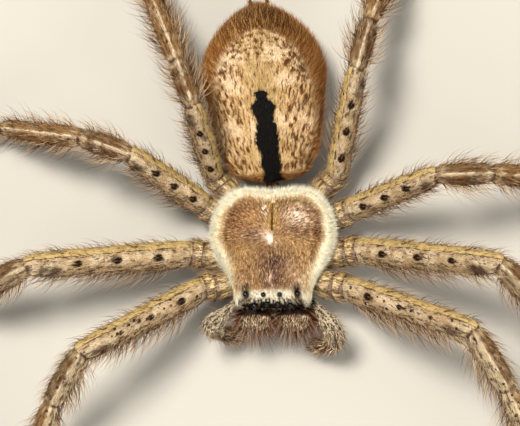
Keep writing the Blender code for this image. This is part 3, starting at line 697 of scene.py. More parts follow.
@dataclass(frozen=True)
class JawFinish:
    """Brown jaws and feelers with pale speckled tops."""

    name: str = "jaw_coat_finish"
    speck: tuple = paint(46, 22, 9)
    pale: tuple = paint(250, 230, 198)
    shade: StrandShade = StrandShade(0.4, 1.6, 0.3, 0.5)

    def material(self) -> bpy.types.Material:
        """Builds the material."""
        p = Pattern(self.name)
        root = p.held("root")
        _, chance, hair = p.parted(p.held("strand"))
        _, _, tone = p.parted(p.held("zone"))
        along, forward, up = p.parted(p.held("place"))
        colour = p.held("tint", "Color")
        fine = p.noise(root, 3.6, 3.0, 0.6)
        streak = p.noise(p.joined(along * 0.8, forward * 2.6, up * 2.6), 1.0, 3.0, 0.6)
        colour = p.blend((fine * 0.5 + streak * 0.5).above(0.47, 0.54) * 0.9, colour, self.speck)
        colour = p.blend(chance.above(0.64, 0.7) * tone * hair * 0.85, colour, self.pale)
        colour = self.shade.on(p, colour)
        return p.finish(colour, 0.5, p.noise(root, 8.0, 2.0), 0.00006)


@dataclass(frozen=True)
class PlainFinish:
    """A smooth finish with a faint grain."""

    name: str
    light: tuple
    dark: tuple
    roughness: float
    scale: float = 900.0
    coat: float = 0.0

    def material(self) -> bpy.types.Material:
        """Builds the material."""
        p = Pattern(self.name)
        place = p.add("ShaderNodeTexCoord").outputs["Object"]
        colour = p.blend(p.noise(place, self.scale, 3.0), self.dark, self.light)
        p.shader.inputs["Coat Weight"].default_value = self.coat
        return p.finish(colour, self.roughness)


# coat
@dataclass(frozen=True)
class Layer:
    """One layer of hair.

    Lengths are in millimetres, density is in hairs per square millimetre, and rise is the
    angle off the skin in degrees.
    """

    cover: str
    reach: str
    density: float
    length: float
    thickness: float
    rise: float
    curl: float = 0.0
    ragged: float = 0.4
    stray: float = 0.25
    stages: int = 1
    seed: int = 1


class GrowthTree:
    """A tree that sets one shape on many points and joins the result into one mesh."""

    NAME = ""
    INPUTS = ()

    def __init__(self) -> None:
        """Builds the tree with its named inputs."""
        self.tree = bpy.data.node_groups.new(self.NAME, "GeometryNodeTree")
        self.tree.is_modifier = True
        sockets = self.tree.interface
        sockets.new_socket("Geometry", in_out="INPUT", socket_type="NodeSocketGeometry")
        self.keys = {
            name: sockets.new_socket(name, in_out="INPUT", socket_type=kind).identifier
            for name, kind in self.INPUTS
        }
        sockets.new_socket("Geometry", in_out="OUTPUT", socket_type="NodeSocketGeometry")
        self.nodes = Nodes(self.tree)
        self.given = self.nodes.add("NodeGroupInput")
        self.wire()

    def wire(self) -> None:
        """Joins the tree's nodes."""
        raise NotImplementedError

    def input(self, name: str) -> Sum:
        """One of the tree's inputs."""
        return Sum(self.nodes, self.given.outputs[name])

    def held(self, name: object, kind: str = "FLOAT_VECTOR") -> bpy.types.NodeSocket:
        """A field that the points or the skin carry."""
        node = self.nodes.add("GeometryNodeInputNamedAttribute", {"data_type": kind}, {"Name": name})
        return node.outputs["Attribute"]

    def number(self, name: object) -> Sum:
        """A field of plain numbers."""
        return Sum(self.nodes, self.held(name, "FLOAT"))

    def kept(self, geometry: object, name: str, value: object, kind: str, domain: str = "POINT") -> object:
        """Stores a field on the geometry."""
        node = self.nodes.add(
            "GeometryNodeStoreNamedAttribute",
            {"data_type": kind, "domain": domain},
            {"Geometry": geometry, "Name": name, "Value": value},
        )
        return node.outputs["Geometry"]

    def place(self) -> tuple[Sum, Sum, Sum]:
        """The place of each point as three numbers."""
        return self.nodes.parted(self.nodes.add("GeometryNodeInputPosition").outputs[0])

    def moved(self, geometry: object, **sockets: object) -> object:
        """Moves the points of the geometry."""
        return self.nodes.add("GeometryNodeSetPosition", {}, {"Geometry": geometry, **sockets}).outputs[0]

    def cone(self, sockets: dict) -> object:
        """A pointed shape of length 1 along Z, closed at its foot."""
        sockets = {**sockets, "Radius Top": 0.0, "Depth": 1.0}
        return self.nodes.add("GeometryNodeMeshCone", {"fill_type": "NGON"}, sockets).outputs["Mesh"]

    def set_on(self, points: object, shape: object, ways: tuple, scale: object) -> object:
        """Sets a shape on points and joins the copies.

        Args:
            points: The points.
            shape: The shape, along Z.
            ways: Where its Z and its Y point.
            scale: Its scale.

        Returns:
            The mesh of all copies.
        """
        axes = {"primary_axis": "Z", "secondary_axis": "Y"}
        turn = self.nodes.add("FunctionNodeAxesToRotation", axes, dict(enumerate(ways))).outputs[0]
        sockets = {"Points": points, "Instance": shape, "Rotation": turn, "Scale": scale}
        copies = self.nodes.add("GeometryNodeInstanceOnPoints", {}, sockets).outputs[0]
        return self.nodes.add("GeometryNodeRealizeInstances", {}, {"Geometry": copies}).outputs[0]

    def end(self, solid: object) -> None:
        """Gives the mesh its material and hands it out."""
        sockets = {"Geometry": solid, "Material": self.input("Material")}
        solid = self.nodes.add("GeometryNodeSetMaterial", {}, sockets).outputs[0]
        self.tree.links.new(solid, self.nodes.add("NodeGroupOutput").inputs[0])

    def grown(self, name: str, mesh: bpy.types.Mesh, slot: str, values: dict) -> bpy.types.Object:
        """Runs the tree on a mesh.

        Args:
            name: The new object's name.
            mesh: The mesh that carries the points or the fields.
            slot: The record's material slot; not used.
            values: The tree's inputs by name.

        Returns:
            The result as a plain mesh object at the origin.
        """
        carrier = bpy.data.objects.new(name, mesh)
        bpy.context.scene.collection.objects.link(carrier)
        modifier = carrier.modifiers.new(self.NAME, "NODES")
        modifier.node_group = self.tree
        for key, value in values.items():
            modifier[self.keys[key]] = value
        graph = bpy.context.evaluated_depsgraph_get()
        made = bpy.data.meshes.new_from_object(carrier.evaluated_get(graph))
        bpy.data.objects.remove(carrier)
        made.name = name
        made.shade_smooth()
        grown = bpy.data.objects.new(name, made)
        bpy.context.scene.collection.objects.link(grown)
        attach(grown, "root")
        LOG.info("%s: %d triangles", name, sum(len(face.vertices) - 2 for face in made.polygons))
        return grown


class CoatTree(GrowthTree):
    """The tree that grows hair on a skin."""

    NAME = "coat"
    INPUTS = (
        ("Cover", "NodeSocketString"),
        ("Reach", "NodeSocketString"),
        ("Density", "NodeSocketFloat"),
        ("Length", "NodeSocketFloat"),
        ("Thickness", "NodeSocketFloat"),
        ("Rise", "NodeSocketFloat"),
        ("Curl", "NodeSocketFloat"),
        ("Ragged", "NodeSocketFloat"),
        ("Stray", "NodeSocketFloat"),
        ("Stages", "NodeSocketInt"),
        ("Seed", "NodeSocketInt"),
        ("Material", "NodeSocketMaterial"),
    )

    def chance(self, step: int) -> Sum:
        """A random number from 0 to 1 for each hair."""
        sockets = {"Seed": self.input("Seed") + step}
        node = self.nodes.add("FunctionNodeRandomValue", {"data_type": "FLOAT"}, sockets)
        return Sum(self.nodes, node.outputs[1])

    def hair(self) -> object:
        """One hair of length 1 along Z and width 1, bent towards Y, with its patch of the bake map."""
        n = self.nodes
        cone = self.cone({"Vertices": 3, "Side Segments": self.input("Stages"), "Radius Bottom": 0.5})
        x, y, z = self.place()
        patch = n.joined(x * 2.0 * BAKE_PATCH, y * 2.0 * BAKE_PATCH, 0.0)
        shape = self.kept(cone, "patch", patch, "FLOAT_VECTOR")
        shape = self.kept(shape, "along", z, "FLOAT")
        bend = self.input("Curl") * self.input("Length") / self.input("Thickness") * z * z
        return self.moved(shape, Offset=n.joined(0.0, bend, z * z * self.input("Curl") * -0.35))

    def wire(self) -> None:
        """Joins the tree's nodes."""
        n = self.nodes
        spread = n.add(
            "GeometryNodeDistributePointsOnFaces",
            {"distribute_method": "RANDOM"},
            {"Mesh": self.given.outputs["Geometry"], "Seed": self.input("Seed"),
             "Density": self.input("Density") * self.number(self.input("Cover"))},
        )
        normal = spread.outputs["Normal"]
        points = self.kept(spread.outputs["Points"], "root_place", self.held(UNWRAP), "FLOAT_VECTOR")
        points = self.kept(points, "chance", self.chance(3), "FLOAT")
        lie = self.held("lie")
        sideways = n.vector("CROSS_PRODUCT", normal, lie)
        stray = (self.chance(5) - 0.5) * 2.0 * self.input("Stray")
        along = n.vector("ADD", lie, n.vector("SCALE", sideways, stray))
        flat = n.vector("SUBTRACT", along, n.vector("PROJECT", along, normal))
        flat = n.vector("NORMALIZE", flat)
        rise = self.input("Rise") * (self.chance(7) * 0.8 + 0.6)
        way = n.vector(
            "ADD",
            n.vector("SCALE", flat, rise.maths("COSINE")),
            n.vector("SCALE", normal, rise.maths("SINE")),
        )
        ragged = 1.0 - self.input("Ragged") * self.chance(11)
        long = self.input("Length") * self.number(self.input("Reach")) * ragged
        wide = self.input("Thickness") * (self.chance(13) * 0.4 + 0.8)
        solid = self.set_on(points, self.hair(), (way, flat), n.joined(wide, wide, long))
        place = n.vector("ADD", self.held("root_place"), self.held("patch"))
        solid = self.kept(solid, BAKE_MAP, place, "FLOAT2", "CORNER")
        strand = n.joined(self.number("along"), self.number("chance"), 1.0)
        solid = self.kept(solid, "strand", strand, "FLOAT_VECTOR")
        x, y, z = self.place()
        solid = self.moved(solid, Position=n.joined(x, y, z.maths("MAXIMUM", HAIR_FLOOR * MM)))
        for spare in ("root_place", "patch", "along", "chance", UNWRAP):
            solid = n.add("GeometryNodeRemoveAttribute", {}, {"Geometry": solid, "Name": spare}).outputs[0]
        self.end(solid)

    def grow(
        self, skin: bpy.types.Object, layer: Layer, material: bpy.types.Material, name: str, slot: str
    ) -> None:
        """Grows one layer on a skin.

        Args:
            skin: The object that carries the fields.
            layer: The layer's sizes.
            material: The hair's finish.
            name: The new object's name.
            slot: The record's material slot; handed to grown, which does not use it.
        """
        thin = 1.0
        self.grown(name, skin.data.copy(), slot, {
            "Cover": layer.cover,
            "Reach": layer.reach,
            "Density": layer.density * thin / MM**2,
            "Length": layer.length * MM,
            "Thickness": layer.thickness * MM,
            "Rise": math.radians(layer.rise),
            "Curl": layer.curl,
            "Ragged": layer.ragged,
            "Stray": layer.stray,
            "Stages": layer.stages,
            "Seed": layer.seed,
            "Material": material,
        })


# eyes
EYES = (
    ("posterior_median", 0.9, -6.08, 0.28),
    ("posterior_lateral", 2.85, -6.0, 0.32),
    ("anterior_median", 0.62, -6.98, 0.31),
    ("anterior_lateral", 1.98, -7.1, 0.36),
)
EYE_SUNK = 0.08
CARAPACE_OUTLINE = (
    (0.0, 6.45), (2.1, 6.7), (4.0, 6.55), (5.6, 5.6), (6.75, 3.8), (7.2, 1.5), (7.0, -0.2),
    (6.45, -1.6), (5.65, -2.9), (4.95, -4.1), (4.5, -5.2), (4.3, -6.2), (3.9, -7.05),
    (2.5, -7.4), (0.0, -7.5),
)
CARAPACE_CENTRE = -0.4
CARAPACE_CROWN = (
    (-7.5, 2.2), (-6.3, 2.75), (-5.0, 3.05), (-3.0, 3.25), (-0.5, 3.1), (1.5, 2.95),
    (3.5, 2.45), (5.0, 1.9), (6.7, 1.2),
)


def carapace_outline(count: int) -> np.ndarray:
    """Points round the carapace's margin, evenly spaced, from the rear midline."""
    steps = np.linspace(0, len(CARAPACE_OUTLINE) - 1, 12 * (len(CARAPACE_OUTLINE) - 1) + 1)
    across = read_between(tuple((i, p[0]) for i, p in enumerate(CARAPACE_OUTLINE)), steps)
    along = read_between(tuple((i, p[1]) for i, p in enumerate(CARAPACE_OUTLINE)), steps)
    run = np.concatenate(([0.0], np.cumsum(np.hypot(np.diff(across), np.diff(along)))))
    wanted = np.linspace(0, run[-1], count // 2 + 1)
    half = np.stack((np.interp(wanted, run, across), np.interp(wanted, run, along)), 1)
    other = half[-2:0:-1] * (-1, 1)
    return np.concatenate((half, other))


def carapace_height(along: np.ndarray, share: np.ndarray) -> np.ndarray:
    """Height above the margin at a place along the body and a share of the way out to it."""
    frontness = np.clip((-along - 2.5) / 3.0, 0.0, 1.0)
    fullness = 2.6 + 7.0 * frontness
    return read_between(CARAPACE_CROWN, along) * (1.0 - np.minimum(share, 1.0) ** fullness) ** (
        0.75 - 0.15 * frontness
    )


def carapace_share(across: float, along: float) -> float:
    """How far out a point lies, as a share of the way from the centre to the margin."""
    outline = carapace_outline(36) - (0.0, CARAPACE_CENTRE)
    x, y = across, along - CARAPACE_CENTRE
    for start, end in zip(outline, np.roll(outline, -1, axis=0)):
        side = end - start
        cross = x * side[1] - y * side[0]
        if abs(cross) < 1e-9:
            continue
        reach = (start[0] * side[1] - start[1] * side[0]) / cross
        place = (start[0] * y - start[1] * x) / cross
        if reach > 0 and -1e-6 <= place <= 1 + 1e-6:
            return 1.0 / reach
    return 0.0


def eye_centre(eye: tuple, side: Side) -> Vector:
    """The centre of an eye in the body's frame."""
    _, across, along, _ = eye
    height = float(carapace_height(np.array(along), np.array(carapace_share(across, along))))
    return Vector((side.value * across, along, height - EYE_SUNK))


@dataclass
class Eyes:
    """Eight glossy black eyes."""

    segments: int = 40
    rings: int = 24

    def build(self, maker: Maker, finish: bpy.types.Material) -> None:
        """Makes each eye and puts it in the place of its solid."""
        turn = np.linspace(0, 2 * math.pi, self.segments, endpoint=False)
        tilt = np.linspace(0.04, math.pi - 0.04, self.rings)[:, None]
        ball = np.stack(
            (np.sin(tilt) * np.cos(turn), np.sin(tilt) * np.sin(turn), np.cos(tilt) + 0 * turn), -1
        )
        for eye in EYES:
            name, _, _, radius = eye
            for side in Side:
                points = np.array(STANCE.body() @ eye_centre(eye, side)) + radius * ball
                node = f"eye_{name}_{side.word}"
                maker.stand_in(node + "_ball", [Surface(points)], finish, "eye", node)


# carapace, waist and sternum
@dataclass
class Carapace:
    """The domed shield, the chest's sides below it, the waist and the sternum."""

    coat_depth: float = 0.15
    hair_edge: float = 0.35
    around: int = 150
    rings: int = 60
    margin: tuple = paint(255, 246, 214)
    seam: tuple = paint(216, 188, 140)
    brown: tuple = paint(172, 132, 86)
    mask: tuple = paint(214, 190, 162)
    dark_spot: tuple = paint(44, 24, 16)
    under: tuple = paint(96, 66, 44)
    gold: tuple = paint(208, 166, 88)
    waist_tint: tuple = paint(98, 58, 36)
    groove: float = 0.07
    # bare patches, with thinner hair and painted sheen: x, y, width, length, strength
    bare_spots: tuple = (
        (-0.12, 0.1, 0.34, 0.72, 1.6), (2.75, 2.85, 1.8, 1.4, 0.74), (0.15, 4.7, 0.2, 0.25, 1.2),
        (-0.85, 3.6, 0.5, 1.2, 0.75), (-0.55, 0.4, 0.8, 0.8, 0.72), (0.4, -0.5, 1.0, 0.6, 0.42),
    )
    washes: tuple = (
        (-3.4, -2.3, 1.8, 1.9, 0.85, paint(186, 148, 98)),
        (3.9, -2.1, 1.2, 2.1, 0.85, paint(188, 150, 102)),
        (-3.7, 2.9, 1.3, 1.6, 0.95, paint(104, 52, 30)), (-5.0, 0.9, 0.8, 2.0, 0.6, paint(140, 92, 50)),
        (5.1, 1.6, 0.7, 2.0, 0.95, paint(98, 50, 24)), (3.0, 1.1, 1.9, 0.6, 0.9, paint(112, 64, 44)),
        (4.4, 3.9, 0.7, 0.8, 0.8, paint(106, 56, 30)), (-2.0, 0.8, 1.1, 1.1, 0.85, paint(112, 72, 64)),
        (4.6, -1.3, 0.35, 1.6, 0.7, paint(116, 66, 36)), (1.9, 4.9, 1.0, 0.5, 0.7, paint(140, 92, 44)),
        (0.35, -2.6, 2.1, 1.8, 1.0, paint(92, 56, 48)), (0.2, -4.5, 1.4, 1.3, 0.9, paint(96, 60, 50)),
        (2.2, -3.2, 0.5, 1.3, 0.5, paint(206, 168, 138)),
        (-0.1, -4.2, 0.25, 0.45, 0.9, paint(240, 206, 184)),
        # the second wash here lies under the shiny bare patch at the left rear: pale skin with painted sheen
        (-0.7, 0.9, 0.8, 0.7, 0.5, paint(214, 178, 142)), (2.75, 2.95, 1.7, 1.4, 0.9, paint(206, 172, 142)),
        (3.4, -4.9, 0.7, 1.0, 0.6, paint(226, 204, 162)), (-3.2, -4.8, 0.6, 0.9, 0.3, paint(206, 172, 132)),
        (-2.5, 2.7, 1.5, 1.3, 0.6, paint(206, 158, 108)), (-2.6, -4.0, 0.5, 0.9, 0.7, paint(120, 78, 44)),
        (1.7, -4.9, 0.5, 0.7, 0.6, paint(110, 68, 46)),
    )

    CHEST = ((3.3, 4.9, -0.4), (3.2, 4.7, -1.6), (2.9, 4.3, -2.5), (2.2, 3.5, -2.75))
    UNDER_MARGIN = ((0.985, -0.2), (0.94, -0.34))
    STERNUM = (
        (0.0, 4.1), (0.8, 3.6), (2.3, 2.0), (3.05, 0.0), (3.0, -2.2), (2.2, -3.5), (1.0, -3.75),
        (0.85, -4.9), (0.0, -5.1),
    )
    STERNUM_DEPTHS = (
        (-2.4, 0.85), (-3.0, 0.95), (-3.25, 0.985), (-3.45, 0.95), (-3.58, 0.8), (-3.62, 0.5), (-3.62, 0.15),
    )

    def dome(self) -> Surface:
        """The dome's rings from the middle out, rolled under at the margin and down the chest."""
        outline = carapace_outline(self.around)
        radial = outline - (0.0, CARAPACE_CENTRE)
        reach = np.linalg.norm(radial, axis=1, keepdims=True)
        outline = radial * (1.0 - self.hair_edge / reach) + (0.0, CARAPACE_CENTRE)
        shares = np.linspace(0.02, 1.0, self.rings) ** 0.8
        x = outline[:, 0] * shares[:, None]
        y = CARAPACE_CENTRE + (outline[:, 1] - CARAPACE_CENTRE) * shares[:, None]
        z = carapace_height(y, shares[:, None] * np.ones_like(x)) - self.coat_depth
        z = np.maximum(z, 0.04)
        z = z - 0.2 * bell(x, 0.13) * smooth_step(1.2, 1.8, y) * smooth_step(5.0, 4.4, y)
        neck = np.abs(x) - (1.0 - 0.72 * y)
        z = z - 0.12 * bell(neck, 0.4) * smooth_step(0.6, -0.4, y) * smooth_step(-4.8, -3.6, y)
        top = np.stack((x, y, z), -1)
        angle = np.arctan2(outline[:, 0], outline[:, 1] - CARAPACE_CENTRE)
        lower = []
        for wide, level in self.UNDER_MARGIN:
            along = CARAPACE_CENTRE + (outline[:, 1] - CARAPACE_CENTRE) * wide
            lower.append(np.stack((outline[:, 0] * wide, along, np.full(self.around, level)), -1))
        for wide, long, level in self.CHEST:
            ring = (wide * np.sin(angle), long * np.cos(angle), np.full(self.around, level))
            lower.append(np.stack(ring, -1))
        surface = Surface(np.concatenate((top, np.stack(lower))))
        self.paint(surface, len(lower), reach)
        return surface

    def paint(self, surface: Surface, lower: int, reach: np.ndarray) -> None:
        """Gives the dome its fields.

        Args:
            surface: The dome with its lower rings.
            lower: How many rings lie under the margin.
            reach: The way from the middle to the margin round the outline.
        """
        x, y, z = np.moveaxis(surface.points, -1, 0)
        rings = len(x)
        shares = np.concatenate((np.linspace(0.02, 1.0, self.rings) ** 0.8, np.ones(lower)))[:, None]
        under = np.arange(rings)[:, None] >= self.rings
        top = 1.0 - under
        from_edge = (1.0 - shares) * (reach[:, 0] - self.hair_edge) + np.where(under, -0.5, 0.0)
        frontness = smooth_step(-1.6, -4.2, y) * np.where(x < 0, 0.75, 0.4)
        fovea = np.where((y > 1.0) & (y < 4.4), np.abs(x - self.groove), FAR) + 3.0 * under
        cup = np.hypot(x - 0.15, y - 4.7)
        fovea = np.minimum(fovea, np.where(cup > 0.24, (cup - 0.24) * 1.6, FAR))
        # bare, shiny patches: thinner hair, and sheen painted by the finish
        bare = np.zeros_like(x)
        for cx, cy, wide, long, full in self.bare_spots:
            bare = np.maximum(bare, full * bell(x - cx + 0.2 * (y - cy), wide) * bell(y - cy, long))
        tint = np.array(self.brown) + 0 * x[..., None]
        for cx, cy, wide, long, full, colour in self.washes:
            tint = blended(tint, colour, full * bell(x - cx, wide) * bell(y - cy, long))
        beside = bell(np.abs(x - self.groove) - 0.3, 0.3)
        beside = beside * smooth_step(0.8, 1.6, y) * smooth_step(5.6, 4.6, y)
        tint = blended(tint, self.gold, beside * 0.75)
        tint = blended(tint, self.dark_spot, bell(x + 4.8, 0.3) * bell(y + 1.45, 0.35))
        temples = smooth_step(2.0, 3.6, np.abs(x)) * smooth_step(-3.0, -4.6, y)
        tint = blended(tint, self.mask, temples * np.where(x < 0, 0.3, 0.6))
        edge = from_edge + frontness + (0.12 * np.sin(1.7 * x + 0.6) + 0.1 * np.sin(2.3 * y))
        band = smooth_step(1.15, 0.65, edge)
        tint = blended(tint, self.seam, smooth_step(1.75, 1.05, edge) * 0.8)
        tint = blended(tint, self.margin, band)
        row = smooth_step(-5.3, -5.8, y) * top
        smudge = np.minimum(1.8 * bell(np.abs(x) - 2.85, 0.42) * bell(y + 5.75, 0.85), 1.0)
        tint = blended(tint, self.mask, row * 0.55)
        tint = blended(tint, self.dark_spot, smudge * top)
        tint = blended(tint, self.brown, smooth_step(-6.15, -6.45, y) * 0.55 * top)
        # the face below the eyes: given face hair, and painted near black as shade by the finish
        below_eyes = smooth_step(-6.5, -7.0, y) * top * smooth_step(-4.1, -3.4, x)
        surface.fields["zone"] = np.stack((fovea, edge * (1 - below_eyes) - 3.0 * below_eyes, bare), -1)
        deep = smooth_step(0.2, -0.6, z) * under
        surface.tint(blended(tint, self.under, deep))
        surface.fields["tint"][..., 3] = 1.0 - smudge
        surface.fields["place"] = np.stack((x, y, z), -1)
        outward = unit(np.stack((x, y - 0.6, 0 * x), -1))
        forward = np.broadcast_to((0.0, -1.0, 0.0), outward.shape)
        front = smooth_step(0.4, -1.6, y)[..., None] * smooth_step(0.3, 1.4, from_edge)[..., None]
        lie = unit(outward * (1 - front) + (forward * 0.9 + outward * -0.15) * front)
        face = (smooth_step(-6.7, -7.1, y) * top)[..., None]
        lie = unit(lie * (1 - face) + np.array((0.0, -0.2, -1.0)) * face)
        surface.fields["lie"] = turned(lie, STANCE.body(), True)
        bald = np.ones_like(x)
        for eye in EYES:
            for side in Side:
                centre = np.array(eye_centre(eye, side))
                gap = np.linalg.norm(surface.points - centre, axis=-1) - eye[3]
                bald = np.minimum(bald, smooth_step(-0.02, 0.1, gap))
        thin = 1.0 - 0.7 * smooth_step(0.3, 0.8, bare)
        surface.fields["cover"] = top * bald * thin * smooth_step(0.04, 0.12, fovea)
        surface.fields["face"] = below_eyes * bald * smooth_step(-0.2, 0.4, z)
        surface.fields["reach"] = 0.8 + 0.5 * band
        surface.fields["fringe"] = top * band * bald * smooth_step(-6.9, -6.0, y)
        surface.fields["fringe_reach"] = 0.75 + 0.25 * smooth_step(1.2, 0.2, from_edge)
        surface.points = turned(surface.points, STANCE.body())

    def waist(self) -> Surface:
        """The waist between chest and abdomen."""
        share = np.linspace(0, 1, 10)[:, None]
        angle = np.linspace(0, 2 * math.pi, 24, endpoint=False)[None, :]
        thick = 1.0 - 0.2 * np.sin(math.pi * share)
        offset = (0.85 * np.cos(angle) * thick, 0 * angle * thick, 0.5 * np.sin(angle) * thick)
        offset = np.stack(offset, -1)
        front = turned(offset + (0.0, 3.6, -1.6), STANCE.body())
        back = turned(offset + (0.0, 0.9, -1.45), STANCE.abdomen())
        points = front * (1 - share[..., None]) + back * share[..., None]
        return plain_surface(points, self.waist_tint, (0, 1, 0))

    def sternum(self) -> Surface:
        """The heart-shaped plate with the labium in front."""
        half = np.array(self.STERNUM)
        steps = np.linspace(0, len(half) - 1, 60)
        x = np.interp(steps, np.arange(len(half)), half[:, 0])
        y = np.interp(steps, np.arange(len(half)), half[:, 1])
        around = np.concatenate((np.stack((x, y), 1), np.stack((-x, y), 1)[-2:0:-1]))
        rings = [
            np.column_stack((around * shrink, np.full(len(around), depth)))
            for depth, shrink in self.STERNUM_DEPTHS
        ]
        return plain_surface(turned(np.array(rings), STANCE.body()), self.under, (0, 1, 0))

    def build(
        self, maker: Maker, finish: bpy.types.Material, under: bpy.types.Material
    ) -> bpy.types.Object:
        """Makes the skins and puts them in the places of their solids."""
        skin = maker.stand_in("carapace_skin", [self.dome()], finish, "carapace_coat", "carapace")
        below = [self.sternum(), self.waist()]
        maker.stand_in("sternum_skin", below, under, "underside", "sternum", "pedicel")
        return skin


def plain_surface(points: np.ndarray, colour: tuple, lie: tuple) -> Surface:
    """A surface of one tint, with every other field at rest."""
    surface = Surface(points)
    shape = points.shape[:2]
    surface.tint(np.array(colour))
    surface.fields["zone"] = np.full((*shape, 3), 5.0)
    surface.fields["place"] = points.copy()
    surface.fields["lie"] = np.broadcast_to(np.array(lie, float), (*shape, 3)).copy()
    for name in ("cover", "reach", "fringe", "fringe_reach", "face"):
        surface.fields[name] = np.ones(shape)
    return surface


# limbs
def limb_axes(way: np.ndarray, side: Side, twist: float) -> tuple[np.ndarray, np.ndarray]:
    """The directions of a limb's back and of its front side, turned like a crab's."""
    up = np.array((0.0, 0.0, 1.0)) - way * way[2]
    up = up / np.linalg.norm(up)
    rearward = side.value * np.cross(up, way)
    turn = math.radians(twist)
    back = up * math.cos(turn) + rearward * math.sin(turn)
    front = up * math.sin(turn) - rearward * math.cos(turn)
    return back, front


def direction(side: Side, heading: float, pitch: float) -> np.ndarray:
    """The unit vector of a segment from its heading and pitch in degrees."""
    turn, rise = math.radians(heading), math.radians(pitch)
    return np.array((
        side.value * math.cos(turn) * math.cos(rise), -math.sin(turn) * math.cos(rise), math.sin(rise)
    ))


@dataclass(frozen=True)
class LegSizes:
    """Lengths and radii of one pair's segments, from the body out."""

    coxa: tuple
    femur: tuple
    patella: tuple
    tibia: tuple
    metatarsus: tuple
    tarsus: tuple
    root: tuple
    fringe: tuple
    rear_fringe: tuple


LEGS = {
    LegPair.FIRST: LegSizes(
        (4.6, 1.6), (17.5, 1.48), (8.2, 1.32), (16.0, 1.24), (15.0, 0.9), (4.6, 0.76), (3.45, -3.65),
        (1.0, 1.0, 1.0, 0.8), (0.3, 0.45, 0.6, 0.4)),
    LegPair.SECOND: LegSizes(
        (5.6, 1.66), (19.4, 1.6), (8.8, 1.4), (17.4, 1.3), (16.0, 0.94), (4.8, 0.78), (3.85, -1.0),
        (0.75, 0.75, 0.85, 0.7), (0.28, 0.4, 0.5, 0.4)),
    LegPair.THIRD: LegSizes(
        (5.3, 1.54), (14.0, 1.42), (6.4, 1.26), (12.0, 1.2), (11.0, 0.82), (4.0, 0.72), (3.65, 1.9),
        (0.6, 0.85, 0.85, 0.7), (0.35, 0.6, 0.7, 0.5)),
    LegPair.FOURTH: LegSizes(
        (5.8, 1.36), (15.5, 1.34), (6.5, 1.2), (13.4, 1.14), (12.6, 0.82), (4.2, 0.72), (2.75, 4.3),
        (0.6, 0.9, 0.95, 0.8), (0.4, 0.9, 0.95, 0.8)),
}
POSES = {
    (Side.LEFT, LegPair.FIRST): ((11, 18, 58, 64, 72, 76), (37, -24, -31)),
    (Side.LEFT, LegPair.SECOND): ((-7, 5, 42, 48, 56, 60), (41, -32, -30)),
    (Side.LEFT, LegPair.THIRD): ((-26, -23, -2, 4, 12, 16), (45, -17, -38)),
    (Side.LEFT, LegPair.FOURTH): ((-42, -81, -74, -68, -60, -56), (41, -31, -32)),
    (Side.RIGHT, LegPair.FIRST): ((9, 27, 59, 70, 77, 80), (33, -35, -26)),
    (Side.RIGHT, LegPair.SECOND): ((-6, 4, 26, 34, 43, 48), (24, -34, -18)),
    (Side.RIGHT, LegPair.THIRD): ((-37, -35, -19, -8, 2, 7), (46, -27, -37)),
    (Side.RIGHT, LegPair.FOURTH): ((-45, -75, -70, -68, -60, -56), (60, -37, -38)),
}
PROFILES = {
    Segment.COXA: ((0.0, 0.7), (0.4, 0.86), (0.8, 1.0), (1.0, 0.94)),
    Segment.TROCHANTER: ((0.0, 0.94), (0.5, 1.03), (1.0, 0.9)),
    Segment.FEMUR: ((0.0, 0.9), (0.09, 1.02), (0.32, 1.03), (0.62, 0.98), (0.86, 0.92), (1.0, 0.78)),
    Segment.PATELLA: ((0.0, 0.74), (0.22, 0.97), (0.7, 1.0), (1.0, 0.84)),
    Segment.TIBIA: ((0.0, 0.82), (0.15, 0.98), (0.55, 0.96), (0.88, 0.84), (1.0, 0.7)),
    Segment.METATARSUS: ((0.0, 0.88), (0.14, 1.0), (0.6, 0.9), (0.92, 0.8), (1.0, 0.78)),
    Segment.TARSUS: ((0.0, 0.9), (0.2, 0.95), (0.55, 1.08), (0.88, 1.02), (1.0, 0.62)),
}
MAIN_ROW = 68
SPINE_ROWS = {
    Segment.FEMUR: ((0.23, MAIN_ROW, 2.3), (0.48, MAIN_ROW, 2.5), (0.72, MAIN_ROW, 2.4), (0.36, 12, 2.2),
                    (0.8, 8, 2.2), (0.4, -70, 2.4), (0.7, -70, 2.4)),
    Segment.TIBIA: ((0.2, 75, 2.6), (0.62, 75, 2.8), (0.3, -75, 2.6), (0.7, -75, 2.6),
                    (0.25, 160, 3.1), (0.6, -160, 3.1)),
    Segment.METATARSUS: ((0.14, 80, 2.7), (0.5, 80, 2.6), (0.14, -80, 2.7), (0.3, 165, 2.9)),
}
# each segment's colour, and a darker one painted underneath as shade
SEGMENT_TINTS_AND_UNDERSIDE_SHADE = {
    Segment.COXA: (paint(240, 212, 156), paint(84, 50, 24)),
    Segment.TROCHANTER: (paint(244, 216, 160), paint(88, 54, 28)),
    Segment.FEMUR: (paint(188, 160, 122), paint(100, 70, 42)),
    Segment.PATELLA: (paint(120, 86, 54), paint(84, 55, 33)),
    Segment.TIBIA: (paint(150, 110, 68), paint(80, 52, 30)),
    Segment.METATARSUS: (paint(124, 86, 52), paint(72, 46, 27)),
    Segment.TARSUS: (paint(94, 66, 42), paint(58, 38, 24)),
}


def apart(degrees: np.ndarray, at: float) -> np.ndarray:
    """How far angles are from another one, from -180 to 180 degrees."""
    return (degrees - at + 180) % 360 - 180


def off_floor(points: np.ndarray) -> np.ndarray:
    """Keeps a ring's points just above the floor."""
    points[:, 2] = np.maximum(points[:, 2], SKIN_FLOOR)
    return points


def circle(centre: np.ndarray, heading: np.ndarray, radius: float, count: int = 20) -> np.ndarray:
    """A circle of points round a heading."""
    turn = np.linspace(0, 2 * math.pi, count, endpoint=False)
    aside = unit(np.cross(heading, (0, 0, 1)))
    up = np.cross(aside, heading)
    return centre + radius * (np.cos(turn)[:, None] * aside + np.sin(turn)[:, None] * up)


